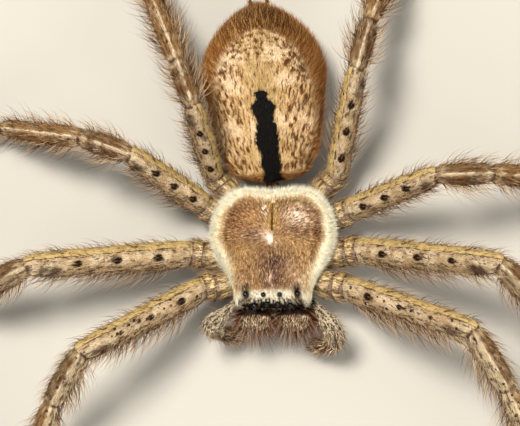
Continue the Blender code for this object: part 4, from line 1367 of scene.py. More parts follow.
class Rings:
    """The rings of a limb and their fields, as they are made."""

    def __init__(self) -> None:
        """Starts with none."""
        self.rows = {}

    def add(self, **ring: np.ndarray) -> None:
        """Adds a ring's points and fields."""
        for key, value in ring.items():
            self.rows.setdefault(key, []).append(value)

    def repeat(self, points: np.ndarray) -> None:
        """Adds a ring that has the fields of the one before."""
        self.add(**{key: values[-1] for key, values in self.rows.items()})
        self.rows["points"][-1] = points

    def done(self) -> tuple[np.ndarray, dict]:
        """The points and the fields of all rings."""
        made = {key: np.array(values) for key, values in self.rows.items()}
        return made.pop("points"), made


@dataclass(frozen=True)
class Tube:
    """A limb's segments round a line of joints, mitred where they meet."""

    joints: list
    side: Side
    around: int
    twist: float = 58.0
    flatness: float = 0.86

    @property
    def angle(self) -> np.ndarray:
        """The angles of a ring's points, round from the limb's back."""
        return np.linspace(0, 2 * math.pi, self.around, endpoint=False)

    def facing(self) -> tuple[np.ndarray, np.ndarray]:
        """How far each point of a ring faces up, and how far it faces forward."""
        angle, turn = self.angle, math.radians(self.twist)
        up = np.cos(angle) * math.cos(turn) + np.sin(angle) * math.sin(turn)
        return up, np.sin(angle) * math.cos(turn) - np.cos(angle) * math.sin(turn)

    def length(self, number: int) -> float:
        """The length of a segment."""
        return np.linalg.norm(self.joints[number + 1] - self.joints[number])

    def way(self, number: int) -> np.ndarray:
        """The direction of a segment."""
        return (self.joints[number + 1] - self.joints[number]) / self.length(number)

    def mitre(self, number: int) -> np.ndarray:
        """The normal of the plane in which two segments meet at a joint."""
        if number in (0, len(self.joints) - 1):
            return self.way(max(number - 1, 0))
        both = self.way(number - 1) + self.way(number)
        return both / np.linalg.norm(both)

    def shares(self, number: int, step: float) -> np.ndarray:
        """The places of a segment's rings along it, about a step apart."""
        count = max(5, round(self.length(number) / step))
        return np.linspace(0, 1, count + 1)[1 if number else 0:]

    def ring(self, number: int, share: float, radius: np.ndarray, reach: float) -> np.ndarray:
        """The points of one ring.

        Args:
            number: The segment's number.
            share: How far along the segment the ring is.
            radius: The radius at each point.
            reach: How far from a joint the rings begin to lean into its plane.

        Returns:
            The points.
        """
        way, length, angle = self.way(number), self.length(number), self.angle
        back, front = limb_axes(way, self.side, self.twist)
        offset = radius[:, None] * (
            np.cos(angle)[:, None] * back + self.flatness * np.sin(angle)[:, None] * front
        )
        near_share = max(0.0, 1.0 - length * max(share, 0.0) / reach) if number else 0.0
        far_share = max(0.0, 1.0 - length * (1.0 - share) / reach)
        near, far = self.mitre(number), self.mitre(number + 1)
        slide = near_share * (offset @ near) / (way @ near) + far_share * (offset @ far) / (way @ far)
        return self.joints[number] + way * length * share + offset - way * slide[:, None]


@dataclass
class Leg:
    """One leg, from its coxa to its claws, as one skin."""

    side: Side
    pair: LegPair
    coat_depth: float = 0.05
    around: int = 36
    step: float = 0.24
    lean: float = 1.6
    twist: float = 58.0
    flatness: float = 0.86
    foot_sink: float = 0.62
    foot_slope: float = 4.0
    trochanter: float = 1.5
    coxa_level: float = -2.15
    bruise: tuple = paint(74, 48, 40)
    end_tint: tuple = paint(226, 208, 172)

    ROOT_SHARE = -0.25
    TIP = ((0.7, 0.16), (0.3, 0.24))
    BANDED = {Segment.FEMUR: 1.0, Segment.COXA: 0.3, Segment.TROCHANTER: 0.4}
    PALE_FRONTS = {LegPair.FIRST: 0.7, LegPair.SECOND: 0.35}

    @property
    def name(self) -> str:
        """The leg's name in its nodes' names."""
        return f"leg_{self.pair.value}_{self.side.word}"

    @property
    def sizes(self) -> LegSizes:
        """The sizes of this pair."""
        return LEGS[self.pair]

    def joints(self) -> list[np.ndarray]:
        """The joints from the coxa's root to the tip, with the foot on the floor."""
        s, side = self.sizes, self.side
        headings, pitches = POSES[side, self.pair]
        root = np.array(STANCE.body() @ Vector((side.value * s.root[0], s.root[1], self.coxa_level)))
        way = turned(direction(side, headings[0], 0.0), STANCE.body(), True)
        points = [root, root + way * (s.coxa[0] - self.trochanter), root + way * s.coxa[0]]
        for size, heading, pitch in zip((s.femur, s.patella, s.tibia), headings[1:4], pitches):
            points.append(points[-1] + direction(side, heading, pitch) * size[0])
        fall = points[-1][2] - self.foot_sink * s.tarsus[1]
        fall -= s.tarsus[0] * math.sin(math.radians(self.foot_slope))
        pitch = -math.degrees(math.asin(fall / s.metatarsus[0]))
        points.append(points[-1] + direction(side, headings[4], pitch) * s.metatarsus[0])
        points.append(points[-1] + direction(side, headings[5], -self.foot_slope) * s.tarsus[0])
        return points

    def radius(self, segment: Segment) -> float:
        """The solid's radius of a segment."""
        s = self.sizes
        sizes = (s.coxa, s.coxa, s.femur, s.patella, s.tibia, s.metatarsus, s.tarsus)
        return sizes[segment.value][1]

    def surface(self) -> Surface:
        """The leg's rings and fields."""
        tube = Tube(self.joints(), self.side, self.around, self.twist, self.flatness)
        rings = Rings()
        for segment in Segment:
            number = segment.value
            shares = tube.shares(number, self.step)
            if not number:
                shares = np.concatenate(([self.ROOT_SHARE], shares))
            for share in shares:
                radius, fields = self.ring(segment, share, tube)
                points = tube.ring(number, share, radius, self.lean * self.radius(segment))
                lie = np.broadcast_to(tube.way(number), (self.around, 3))
                rings.add(points=off_floor(points), lie=lie, **fields)
        last, way = rings.rows["points"][-1], tube.way(Segment.TARSUS.value)
        centre = last.mean(axis=0)
        for shrink, forward in self.TIP:
            rings.repeat(off_floor(centre + (last - centre) * shrink + way * forward))
        return Surface(*rings.done())

    def ring(self, segment: Segment, share: float, tube: Tube) -> tuple[np.ndarray, dict]:
        """One ring's radii and fields.

        Args:
            segment: The segment that the ring is on.
            share: How far along the segment it is.
            tube: The leg's tube.

        Returns:
            The radius at each point, and each field's values.
        """
        length, degrees, (up, forward) = tube.length(segment.value), np.degrees(tube.angle), tube.facing()
        first, last = segment is Segment.COXA, segment is Segment.TARSUS
        joint = min(FAR if first else max(share, 0.0) * length, FAR if last else (1.0 - share) * length)
        profile = float(read_between(PROFILES[segment], np.array(share)))
        radius = np.full(self.around, self.radius(segment) * profile - self.coat_depth)
        radius = radius * (1.0 - (0.08 if segment.hip else 0.13) * math.exp(-((joint / 0.28) ** 2)))
        same = np.ones(self.around)
        spots = self.spots(segment, share, length, degrees)
        hairy = self.fringe(segment, share, degrees)
        bald = 0.2 if segment.hip else 0.0
        cover = 0.25 - bald + (0.75 + bald) * smooth_step(0.15 + bald, 0.5 + bald, joint)
        cover = cover * (1.0 - 0.65 * smooth_step(-0.4, -0.55, forward) * (segment is Segment.FEMUR))
        short = 0.8 if segment is Segment.FEMUR else 1.3 if segment.hip else 1.0
        long = 0.28 + 0.6 * np.clip(hairy, 0, 1) - 0.42 * segment.hip
        return radius, {
            "place": np.stack((share * length * same, forward, up), -1),
            "zone": np.stack((spots, joint * same, self.BANDED.get(segment, 0.15) * same), -1),
            "tint": self.tint(segment, share, joint, up, forward),
            "cover": cover,
            "reach": short * same,
            "fringe": hairy,
            "fringe_reach": long * (1.0 - 0.5 * smooth_step(0.4, 0.9, up)),
        }

    def spots(self, segment: Segment, share: float, length: float, degrees: np.ndarray) -> np.ndarray:
        """How far each point of a ring lies from the nearest dark spot at a spine's root."""
        spots = np.full(self.around, FAR)
        for at, around, _ in SPINE_ROWS.get(segment, ()):
            aside = np.radians(apart(degrees, around)) * self.radius(segment)
            ahead = (share - at) * length
            main = segment is Segment.FEMUR and around == MAIN_ROW
            small = 1.0 + (self.pair is LegPair.FIRST) * (at - 0.23) * 1.1
            spots = np.minimum(spots, np.hypot(ahead * 0.85, aside) * (0.88 * small if main else 2.2))
            if main and small < 1.3:
                spots = np.minimum(spots, np.hypot(max(0.0, ahead - 0.7, -ahead), aside + 0.05) * 2.6)
        return spots

    def tint(
        self, segment: Segment, share: float, joint: float, up: np.ndarray, forward: np.ndarray
    ) -> np.ndarray:
        """The base colour at each point of a ring, darker underneath as painted shade, with how strongly it
        is freckled.

        Args:
            segment: The segment that the ring is on.
            share: How far along the segment it is.
            joint: How far it is from the nearest joint.
            up: How far each point faces up.
            forward: How far each point faces forward.

        Returns:
            The colours.
        """
        light, dark = SEGMENT_TINTS_AND_UNDERSIDE_SHADE[segment]
        # the underside takes the darker colour: painted shade
        tint = mixed(light, dark, smooth_step(0.5, -0.5, up) if segment.hip else smooth_step(-0.1, -0.9, up))
        if segment is Segment.FEMUR:
            tip = smooth_step(0.78, 0.86, share) * smooth_step(0.97, 0.93, share)
            tint = blended(tint, self.bruise, tip * smooth_step(0.0, 0.45, forward) * 0.85)
        pale = self.PALE_FRONTS.get(self.pair, 0.0) * (segment in (Segment.PATELLA, Segment.TIBIA))
        pale = pale * smooth_step(-0.15, 0.3, forward) * smooth_step(-0.8, -0.3, up)
        tint = blended(tint, self.end_tint, pale)
        end = bell(joint - 0.75, 0.35) * (0.0 if segment.hip else 0.4)
        tint = blended(tint, self.end_tint, end * smooth_step(-0.4, 0.1, up))
        tint[:, 3] = 0.0 if segment.hip else 0.95 if self.pair is LegPair.FIRST else 0.5
        return tint

    def fringe(self, segment: Segment, share: float, degrees: np.ndarray) -> np.ndarray:
        """How thickly long hair stands at each point of a ring."""
        if segment.hip:
            return np.full(self.around, 0.7 * float(smooth_step(0.1, 0.5, share + segment.value)))
        if segment is Segment.TARSUS:
            return np.zeros(self.around)
        number = segment.value - Segment.FEMUR.value
        fore = self.sizes.fringe[number] * bell(apart(degrees, 152), 34)
        rear = self.sizes.rear_fringe[number] * bell(apart(degrees, -30), 34)
        return (fore + rear + 0.06) * smooth_step(0.0, 0.12 if number else 0.25, share)

    def skin_point(
        self, segment: Segment, share: float, around: float
    ) -> tuple[np.ndarray, np.ndarray, np.ndarray]:
        """A point on a segment's skin, the way out of it and the way to the foot."""
        start, end = self.joints()[segment.value:segment.value + 2]
        way = (end - start) / np.linalg.norm(end - start)
        back, front = limb_axes(way, self.side, self.twist)
        turn = math.radians(around)
        outward = math.cos(turn) * back + math.sin(turn) * front
        offset = math.cos(turn) * back + self.flatness * math.sin(turn) * front
        radius = self.radius(segment) * float(read_between(PROFILES[segment], np.array(share)))
        return start + (end - start) * share + (radius - self.coat_depth) * offset, outward, way

    def build(self, maker: Maker, finish: bpy.types.Material) -> bpy.types.Object:
        """Makes the skin and puts it in the place of the leg's solids."""
        nodes = (f"{self.name}_{part}" for part in ("coxa", "femur", "patella", "tibia", "foot"))
        return maker.stand_in(self.name + "_skin", [self.surface()], finish, "leg_coat", *nodes)


@dataclass
class Palp:
    """A feeler with its chewing plate."""

    side: Side
    around: int = 24
    step: float = 0.25
    lean: float = 1.4
    coat_depth: float = 0.06
    hip: tuple = (2.8, -4.9, -3.4)
    trochanter: tuple = (3.95, -5.6, -2.75)
    light: tuple = paint(230, 212, 180)
    dark: tuple = paint(120, 82, 48)
    plate: tuple = paint(120, 80, 54)
    plate_back: tuple = (2.7, -4.35, -3.4)
    plate_front: tuple = (1.8, -5.35, -3.9)
    plate_radius: float = 0.63

    ENDS = {
        Side.LEFT: ((6.7, -9.1, 8.7), (7.2, -11.2, 5.5), (4.35, -11.6, 2.2)),
        Side.RIGHT: ((-6.7, -8.85, 8.6), (-6.05, -10.0, 4.95), (-3.3, -10.6, 1.6)),
    }
    SEGMENTS = (
        (((0.0, 0.42), (0.5, 0.48), (1.0, 0.48)), 0.5, 0.5, 0.0),
        (((0.0, 0.48), (0.15, 0.5), (0.5, 0.64), (0.85, 1.15), (1.0, 1.06)), 0.0, 0.5, 0.06),
        (((0.0, 1.04), (0.2, 1.1), (0.6, 1.06), (1.0, 0.84)), 0.35, 1.0, 0.35),
        (((0.0, 0.84), (0.4, 0.84), (0.8, 0.68), (0.95, 0.5), (1.0, 0.28)), 0.95, 1.8, 1.0),
    )

    def surface(self) -> Surface:
        """The feeler's rings and fields."""
        mirror = Vector((self.side.value, 1, 1))
        joints = [np.array(STANCE.body() @ (Vector(p) * mirror)) for p in (self.hip, self.trochanter)]
        tube = Tube(joints + [np.array(p) for p in self.ENDS[self.side]], self.side, self.around)
        up, forward = tube.facing()
        same, rings = np.ones(self.around), Rings()
        for number, (shape, tone, reach, hair) in enumerate(self.SEGMENTS):
            length, last = tube.length(number), number == len(self.SEGMENTS) - 1
            for share in tube.shares(number, self.step):
                joint = min(share, 1.0 if last else 1 - share) * length if number else FAR
                radius = float(read_between(shape, np.array(share))) - self.coat_depth
                radius *= 1.0 - 0.14 * math.exp(-((joint / 0.25) ** 2))
                rings.add(
                    points=tube.ring(number, share, radius * same, self.lean),
                    place=np.stack((share * length * same, forward, up), -1),
                    tint=mixed(self.light, self.dark, tone * same),
                    lie=np.broadcast_to(tube.way(number), (self.around, 3)),
                    reach=reach * same,
                    fringe=hair * (0.4 + 0.6 * np.abs(forward)),
                )
        points, fields = rings.done()
        surface = plain_surface(points, self.light, (0, 0, 1))
        surface.fields.update(fields)
        surface.fields["zone"][..., 2] = 1.0
        return surface

    def endite(self) -> Surface:
        """The chewing plate below the head."""
        back, front = np.array(self.plate_back), np.array(self.plate_front)
        share = np.linspace(0, 1, 14)[:, None, None]
        angle = np.linspace(0, 2 * math.pi, 24, endpoint=False)[None, :, None]
        swell = self.plate_radius * np.sin(math.pi * (0.06 + 0.88 * share)) ** 0.5
        ring = np.concatenate((np.cos(angle), 0 * angle, 0.8 * np.sin(angle)), -1)
        points = back + (front - back) * share + swell * ring
        points[..., 0] *= self.side.value
        return plain_surface(turned(points, STANCE.body()), self.plate, (0, -1, 0))

    def build(self, maker: Maker, finish: bpy.types.Material) -> bpy.types.Object:
        """Makes the skin and puts it in the place of the feeler's solids."""
        name, surfaces = f"palp_{self.side.word}", [self.surface(), self.endite()]
        return maker.stand_in(name + "_skin", surfaces, finish, "leg_coat", name + "_base", name + "_end")


# jaws
@dataclass
class Jaw:
    """A stout jaw with its fang."""

    side: Side
    centre: tuple = (2.45, -7.45, -3.55)
    half_width: float = 2.2
    front: float = 1.9
    rear: float = 1.2
    half_height: float = 3.1
    fullness: float = 0.7
    splay: float = 4.0
    coat_depth: float = 0.18
    fang_length: float = 3.6
    fang_radius: float = 0.45
    top: tuple = paint(150, 118, 84)
    brown: tuple = paint(122, 70, 36)
    red: tuple = paint(96, 44, 32)
    shadow: tuple = paint(22, 12, 8)

    def frame(self) -> Matrix:
        """The jaw's own frame."""
        across, along, level = self.centre
        return (
            STANCE.body()
            @ Matrix.Translation((self.side.value * across, along, level))
            @ Matrix.Rotation(math.radians(self.side.value * -self.splay), 4, "Y")
        )

    def surface(self) -> Surface:
        """The jaw's rings and fields."""
        tilt = np.linspace(0.03, math.pi - 0.03, 44)[:, None]
        turn = np.linspace(0, 2 * math.pi, 56, endpoint=False)[None, :]
        fall = np.cos(tilt) + 0 * turn
        ring = np.sin(tilt) ** self.fullness
        across, along = ring * np.cos(turn), ring * np.sin(turn)
        knee = 1.0 + 0.12 * np.sin(math.pi * np.maximum(fall, 0.0))
        taper = 1.0 - 0.3 * np.maximum(-fall, 0.0) ** 1.5
        depth = np.where(along < 0, self.front * knee, self.rear) - self.coat_depth
        inner = np.where(across * self.side.value < 0, 0.02, self.coat_depth)
        points = np.stack((
            across * (self.half_width - inner) * taper, along * depth * taper,
            fall * (self.half_height - self.coat_depth)), -1)
        surface = plain_surface(points, self.top, (0, 0, -1))
        outward = across * self.side.value
        high = smooth_step(0.0, 0.5, fall) * smooth_step(-0.05, -0.3, along)
        high = high * smooth_step(0.95, 0.6, outward) * smooth_step(-0.98, -0.7, outward)
        tint = blended(mixed(self.brown, self.top, high), self.red, smooth_step(-0.6, -0.95, outward))
        dark = smooth_step(-0.28, -0.08, along) * smooth_step(-0.3, 0.3, fall)
        dark = dark * smooth_step(1.0, 0.7, outward)
        surface.tint(blended(tint, self.shadow, dark))
        surface.fields["zone"][..., 2] = high * 0.9
        lie = np.stack((0.25 * across, 0 * across - 0.35, 0 * across - 1.0), -1)
        high = smooth_step(0.3, 0.9, fall)[..., None]
        lie = unit(lie * (1 - high) + np.array((0.0, -1.0, -0.2)) * high)
        surface.fields["lie"] = turned(lie, self.frame(), True)
        surface.fields["cover"] = smooth_step(0.9, 0.3, along)
        surface.fields["reach"] = 0.8 + 0 * fall
        hairy = smooth_step(0.9, 0.55, fall) * smooth_step(-0.95, -0.6, fall)
        surface.fields["fringe"] = smooth_step(0.9, 0.2, along) * hairy
        surface.fields["fringe_reach"] = 0.6 + 0.4 * smooth_step(0.5, -0.3, fall)
        surface.points = turned(points, self.frame())
        surface.fields["place"] = np.roll(points, 1, axis=-1)
        return surface

    def fang(self) -> Surface:
        """The fang, folded in and back below the jaw."""
        across, along, level = self.centre
        sign = self.side.value
        start = np.array((sign * (across + 0.75), along + 0.55, level - self.half_height - 0.35))
        rings = []
        for share in np.linspace(0, 0.985, 26):
            bend = share * 1.1
            centre = start + self.fang_length * np.array((
                -sign * math.sin(bend) * 0.62, share * 0.42, -0.13 * math.sin(share * math.pi)))
            heading = unit(np.array((-sign * math.cos(bend) * 0.7, 0.42, -0.1)))
            rings.append(circle(centre, heading, self.fang_radius * (1.0 - share) ** 0.6))
        return Surface(turned(np.array(rings), STANCE.body()))

    def build(
        self, maker: Maker, finish: bpy.types.Material, fang: bpy.types.Material
    ) -> bpy.types.Object:
        """Makes jaw and fang and puts them in the places of their solids."""
        jaw, tooth = f"chelicera_{self.side.word}", f"fang_{self.side.word}"
        skin = maker.stand_in(jaw + "_skin", [self.surface()], finish, "leg_coat", jaw)
        maker.stand_in(tooth + "_horn", [self.fang()], fang, "fang", tooth)
        return skin


# abdomen
@dataclass
class Abdomen:
    """The egg-shaped abdomen with its spinnerets."""

    length: float = 20.3
    rings: int = 150
    around: int = 120
    back_depth: float = 0.3
    side_depth: float = 0.75
    cream: tuple = paint(216, 180, 126)
    tan: tuple = paint(182, 154, 102)
    orange: tuple = paint(140, 82, 32)
    rust: tuple = paint(88, 46, 16)
    grey: tuple = paint(150, 122, 92)

    STATIONS = (
        (0.0, 0.0, 0.0, 0.0), (0.03, 3.6, 2.2, -2.3), (0.09, 4.75, 3.1, -3.0), (0.2, 5.75, 3.9, -3.4),
        (0.35, 6.45, 4.5, -4.1), (0.5, 6.95, 4.8, -4.5), (0.63, 7.2, 4.8, -4.6), (0.75, 6.6, 4.4, -4.3),
        (0.86, 5.1, 3.5, -3.5), (0.94, 3.3, 2.3, -2.5), (0.985, 1.6, 1.1, -1.4), (1.0, 0.0, -0.2, -0.2),
    )
    STRIPE = (
        (-0.6, 0.4, 2.2), (-0.18, 0.4, 1.98), (0.25, 0.3, 1.07), (1.13, 0.32, 0.965), (1.9, 0.27, 1.1),
        (3.0, 0.27, 0.99), (4.45, 0.05, 1.27), (5.8, 0.15, 1.16), (6.9, 0.04, 0.965), (8.1, -0.05, 1.27),
        (8.6, -0.08, 1.25), (9.15, -0.12, 0.66), (9.9, -0.15, 0.69), (10.15, -0.15, 0.3),
        (10.4, -0.15, -0.6),
    )
    PATCHES = (
        (2.6, 11.3, 1.3, 0.8), (-3.4, 11.2, 1.0, 0.8), (4.3, 6.6, 1.1, 0.8), (-3.6, 6.2, 1.0, 0.7),
        (1.8, 14.3, 1.2, 0.8), (-3.6, 13.6, 1.4, 1.0), (1.7, 6.8, 0.5, 1.3), (-1.3, 6.4, 0.4, 1.0),
    )
    BORDER = ((0.0, 3.2), (1.5, 4.4), (4.0, 5.1), (7.0, 5.45), (9.0, 5.5), (20.0, 5.5))
    SPINNERETS = ((0.55, 0.93, 1.9, 0.42), (0.75, 0.97, 1.8, 0.34), (0.0, 0.9, 1.1, 0.3))
    SPINNERET = ((0, 1.0), (0.3, 0.95), (0.55, 0.8), (0.6, 0.7), (0.8, 0.66), (0.94, 0.5), (1.0, 0.25))

    def outer(self, share: np.ndarray, angle: np.ndarray) -> np.ndarray:
        """Points of the solid's surface by share of length and angle round from the left side."""
        wide, top, low = (
            read_between(tuple((row[0], row[i]) for row in self.STATIONS), share) for i in (1, 2, 3)
        )
        middle, reach = (top + low) / 2, (top - low) / 2
        up = middle + reach * np.sin(angle)
        return np.stack((wide * np.cos(angle), self.length * share + 0 * angle, up), -1)

    def surface(self) -> Surface:
        """The abdomen's rings and fields."""
        step = np.linspace(0.012, 0.988, self.rings)[:, None]
        share = (1.0 - np.cos(math.pi * step)) / 2
        angle = np.linspace(0, 2 * math.pi, self.around, endpoint=False)[None, :]
        shell = self.outer(share + 0 * angle, angle + 0 * share)
        centre = shell.mean(axis=1, keepdims=True)
        away = shell - centre
        reach = np.linalg.norm(away, axis=-1, keepdims=True)
        height = np.sin(angle)[..., None]
        depth = self.back_depth + (self.side_depth - self.back_depth) * smooth_step(0.95, 0.45, height)
        depth = np.where(height < -0.2, self.back_depth, depth)
        points = centre + away * np.maximum(1.0 - depth / reach, 0.3)
        points[..., 1] = 0.04 + (self.length - 0.44) * (points[..., 1] / self.length)
        surface = plain_surface(points, self.cream, (0, 1, 0))
        self.paint(surface, points, angle)
        surface.points = turned(points, STANCE.abdomen())
        return surface

    def paint(self, surface: Surface, points: np.ndarray, angle: np.ndarray) -> None:
        """Gives the abdomen its fields.

        Args:
            surface: The abdomen's rings.
            points: Its points in its own frame.
            angle: The points' angles round from the left side.
        """
        x, y, z = np.moveaxis(points, -1, 0)
        centre = read_between(tuple((r[0], r[1]) for r in self.STRIPE), y)
        half = read_between(tuple((r[0], r[2]) for r in self.STRIPE), y)
        above = np.sin(angle) > 0
        stripe = np.where(above, np.abs(x - centre) - half, FAR) + np.maximum(y - 10.25, 0.0) * 2.0
        wide = read_between(self.BORDER, y)
        rear = np.sqrt(np.clip(1.0 - (np.maximum(y - 9.0, 0.0) / 8.0) ** 2, 0.0, 1.0))
        border = np.where(above, np.abs(x) - wide * rear, 3.0) + np.maximum(y - 16.9, 0.0)
        border = np.maximum(border, (0.9 - y) * 1.5)
        patch = np.zeros_like(x)
        for cx, cy, broad, long in self.PATCHES:
            patch = np.maximum(patch, bell(x - cx, broad) * bell(y - cy, long))
        surface.fields["zone"] = np.stack((stripe, border, patch), -1)
        tint = mixed(self.cream, self.tan, bell(x, 2.6) * 0.9)
        furred = smooth_step(-0.35, 0.35, border)
        fur = mixed(self.orange, self.rust, smooth_step(14.5, 18.5, y) * smooth_step(-0.5, 2.0, z))
        tint = tint * (1 - furred[..., None]) + fur * furred[..., None]
        surface.tint(blended(tint, self.grey, smooth_step(-1.0, -2.6, z)))
        surface.fields["place"] = points
        lie = np.stack((0.12 * x, 0 * x + 1.0, 0 * x - 0.1), -1)
        out = unit(np.stack((x, 1.4 * (y - 9.0), 0 * x), -1))
        lie = unit(lie) * (1 - 0.5 * furred[..., None]) + out * 0.5 * furred[..., None]
        surface.fields["lie"] = turned(unit(lie), STANCE.abdomen(), True)
        surface.fields["cover"] = 1.0 - 0.7 * smooth_step(-0.5, -2.5, z)
        surface.fields["reach"] = 0.75 + 0.25 * furred
        surface.fields["fringe"] = smooth_step(-0.5, 0.5, border) * smooth_step(-3.2, -1.0, z)
        long = (0.75 + 0.25 * smooth_step(0.0, 1.2, border)) * (0.45 + 0.55 * smooth_step(0.3, 3.0, y))
        surface.fields["fringe_reach"] = long

    def spinnerets(self) -> list[Surface]:
        """The spinnerets below the rear."""
        made = []
        for across, share, length, radius in self.SPINNERETS:
            for sign in ((1, -1) if across else (1,)):
                low = self.outer(np.array(share), np.array(-math.pi / 2))
                root = np.array((sign * across, low[1] - 0.5, low[2] + 0.5))
                way = unit(np.array((sign * 0.12, 0.86, -0.35)))
                rings = np.array([
                    circle(root + way * length * 0.97 * along, way, radius * swell * 0.92)
                    for along, swell in self.SPINNERET
                ])
                surface = plain_surface(turned(rings, STANCE.abdomen()), self.rust, (0, 1, 0))
                surface.fields["reach"] *= 0.4
                surface.fields["fringe"] *= 0.2
                made.append(surface)
        return made

    def build(self, maker: Maker, finish: bpy.types.Material) -> bpy.types.Object:
        """Makes the skin and puts it in the place of the solid."""
        surfaces = [self.surface(), *self.spinnerets()]
        return maker.stand_in("abdomen_skin", surfaces, finish, "abdomen_coat", "abdomen")


# spines and claws
@dataclass(frozen=True)
class Spike:
    """A spine or a claw: its root, its way, its bend and its sizes."""

    root: np.ndarray
    way: np.ndarray
    bend: np.ndarray
    length: float
    radius: float


class SpikeTree(GrowthTree):
    """The tree that sets curved spikes on points."""

    NAME = "spikes"
    INPUTS = (("Sides", "NodeSocketInt"), ("Curl", "NodeSocketFloat"), ("Material", "NodeSocketMaterial"))

    def wire(self) -> None:
        """Joins the tree's nodes."""
        n = self.nodes
        cone = self.cone({"Vertices": self.input("Sides"), "Side Segments": 8, "Radius Bottom": 1.0})
        x, y, z = self.place()
        swell = (1.0 - z).maths("POWER", -0.35)
        full = n.joined(x * swell, y * swell, z)
        shape = self.moved(cone, Selection=z.maths("LESS_THAN", 0.99), Position=full)
        shape = self.kept(shape, "along", self.place()[2], "FLOAT")
        way, bend, size = (self.held(name) for name in ("way", "bend", "size"))
        solid = self.set_on(self.given.outputs["Geometry"], shape, (way, bend), size)
        along = self.number("along")
        push = along * along * n.parted(size)[2] * self.input("Curl")
        self.end(self.moved(solid, Offset=n.vector("SCALE", bend, push)))

    def build(
        self, maker: Maker, name: str, spikes: list[Spike], curl: float,
        material: bpy.types.Material, slot: str
    ) -> None:
        """Makes one object of many spikes.

        Args:
            maker: Knows where the solids are.
            name: The object's name.
            spikes: The spikes.
            curl: How far a tip bends over, as a share of the length.
            material: The finish.
            slot: The record's material slot; handed to grown, which does not use it.
        """
        mesh = bpy.data.meshes.new(name)
        roots = (np.array([s.root for s in spikes]) + maker.shift) * MM
        mesh.from_pydata(roots.tolist(), [], [])
        maker.store(mesh, "way", np.array([s.way for s in spikes]))
        maker.store(mesh, "bend", np.array([s.bend for s in spikes]))
        maker.store(mesh, "size", np.array([(s.radius, s.radius, s.length) for s in spikes]) * MM)
        self.grown(name, mesh, slot, {"Sides": SPIKE_SIDES, "Curl": curl, "Material": material})


SPINE_RISE = math.radians(30)
SPINE_RADIUS = 0.065
SPINE_SUNK = 0.08
# how much of a solid spine's length the fine one has, and how low its tip may be
SPINE_SHARE = 0.8
SPINE_CLEARANCE = 0.4
CLAW_LENGTH = 0.62
CLAW_RADIUS = 0.09
CLAW_ASIDE = 0.16


def leg_spines(legs: list[Leg]) -> list[Spike]:
    """The stout dark spines of every leg."""
    spikes = []
    for leg in legs:
        for segment, rows in SPINE_ROWS.items():
            for share, around, length in rows:
                root, outward, way = leg.skin_point(segment, share, around)
                lean = unit(math.cos(SPINE_RISE) * way + math.sin(SPINE_RISE) * outward)
                if (root + lean * length)[2] > SPINE_CLEARANCE:
                    bend = unit(way - lean * (way @ lean))
                    foot = root - outward * SPINE_SUNK
                    spikes.append(Spike(foot, lean, bend, length * SPINE_SHARE, SPINE_RADIUS))
    return spikes


def leg_claws(legs: list[Leg]) -> list[Spike]:
    """Two small claws at the tip of every leg."""
    spikes = []
    for leg in legs:
        joints = leg.joints()
        way = unit(joints[-1] - joints[-2])
        aside = unit(np.cross(way, (0, 0, 1)))
        for sign in (1, -1):
            root = joints[-1] + way * 0.05 + aside * sign * CLAW_ASIDE + np.array((0, 0, 0.16))
            lean = unit(way + aside * sign * 0.25 + np.array((0, 0, 0.35)))
            spikes.append(Spike(root, lean, np.array((0.0, 0.0, -1.0)), CLAW_LENGTH, CLAW_RADIUS))
    return spikes


# room
@dataclass(frozen=True)
class Room:
    """The floor, the camera and the lights."""

    lens: float = 162.0
    sensor: float = 36.0
    camera_place: tuple = (-1.33, 3.56, 269.0)
    floor_size: float = 6.0
    day_strength: float = 0.3
    floor_light: tuple = paint(182, 179, 172)
    floor_dark: tuple = paint(176, 173, 166)
    daylight: tuple = (1.0, 0.97, 0.92, 1.0)
    lamplight: tuple = (1.0, 0.95, 0.87)

    LAMPS = (
        ("key", (-0.15, 0.2, 0.6), 0.16, 6.6),
        ("fill", (0.45, -0.2, 0.4), 0.4, 1.5),
        ("rim", (0.1, -0.5, 0.35), 0.4, 1.2),
    )

    def build(self, maker: Maker) -> None:
        """Makes the floor, camera and lights."""
        bpy.ops.mesh.primitive_plane_add(size=self.floor_size)
        floor = bpy.context.object
        floor.name = "floor"
        floor_look = PlainFinish("floor_finish", self.floor_light, self.floor_dark, 0.8, 3.0)
        floor.data.materials.append(floor_look.material())
        data = bpy.data.cameras.new("camera")
        data.lens, data.sensor_width, data.clip_start = self.lens, self.sensor, 0.005
        camera = bpy.data.objects.new("camera", data)
        camera.location = (np.array(self.camera_place) + maker.shift) * MM
        bpy.context.scene.collection.objects.link(camera)
        bpy.context.scene.camera = camera
        world = bpy.data.worlds.new("room")
        bpy.context.scene.world = world
        world.use_nodes = True
        back = world.node_tree.nodes["Background"]
        back.inputs[0].default_value = self.daylight
        back.inputs[1].default_value = self.day_strength
        for name, place, size, power in self.LAMPS:
            light = bpy.data.lights.new(name, "AREA")
            light.energy, light.size = power, size
            light.color = self.lamplight
            lamp = bpy.data.objects.new(name, light)
            lamp.location = place
            lamp.rotation_euler = (-Vector(place)).to_track_quat("-Z", "Y").to_euler()
            bpy.context.scene.collection.objects.link(lamp)
        bpy.context.scene.view_settings.view_transform = "Standard"
        bpy.context.view_layer.update()


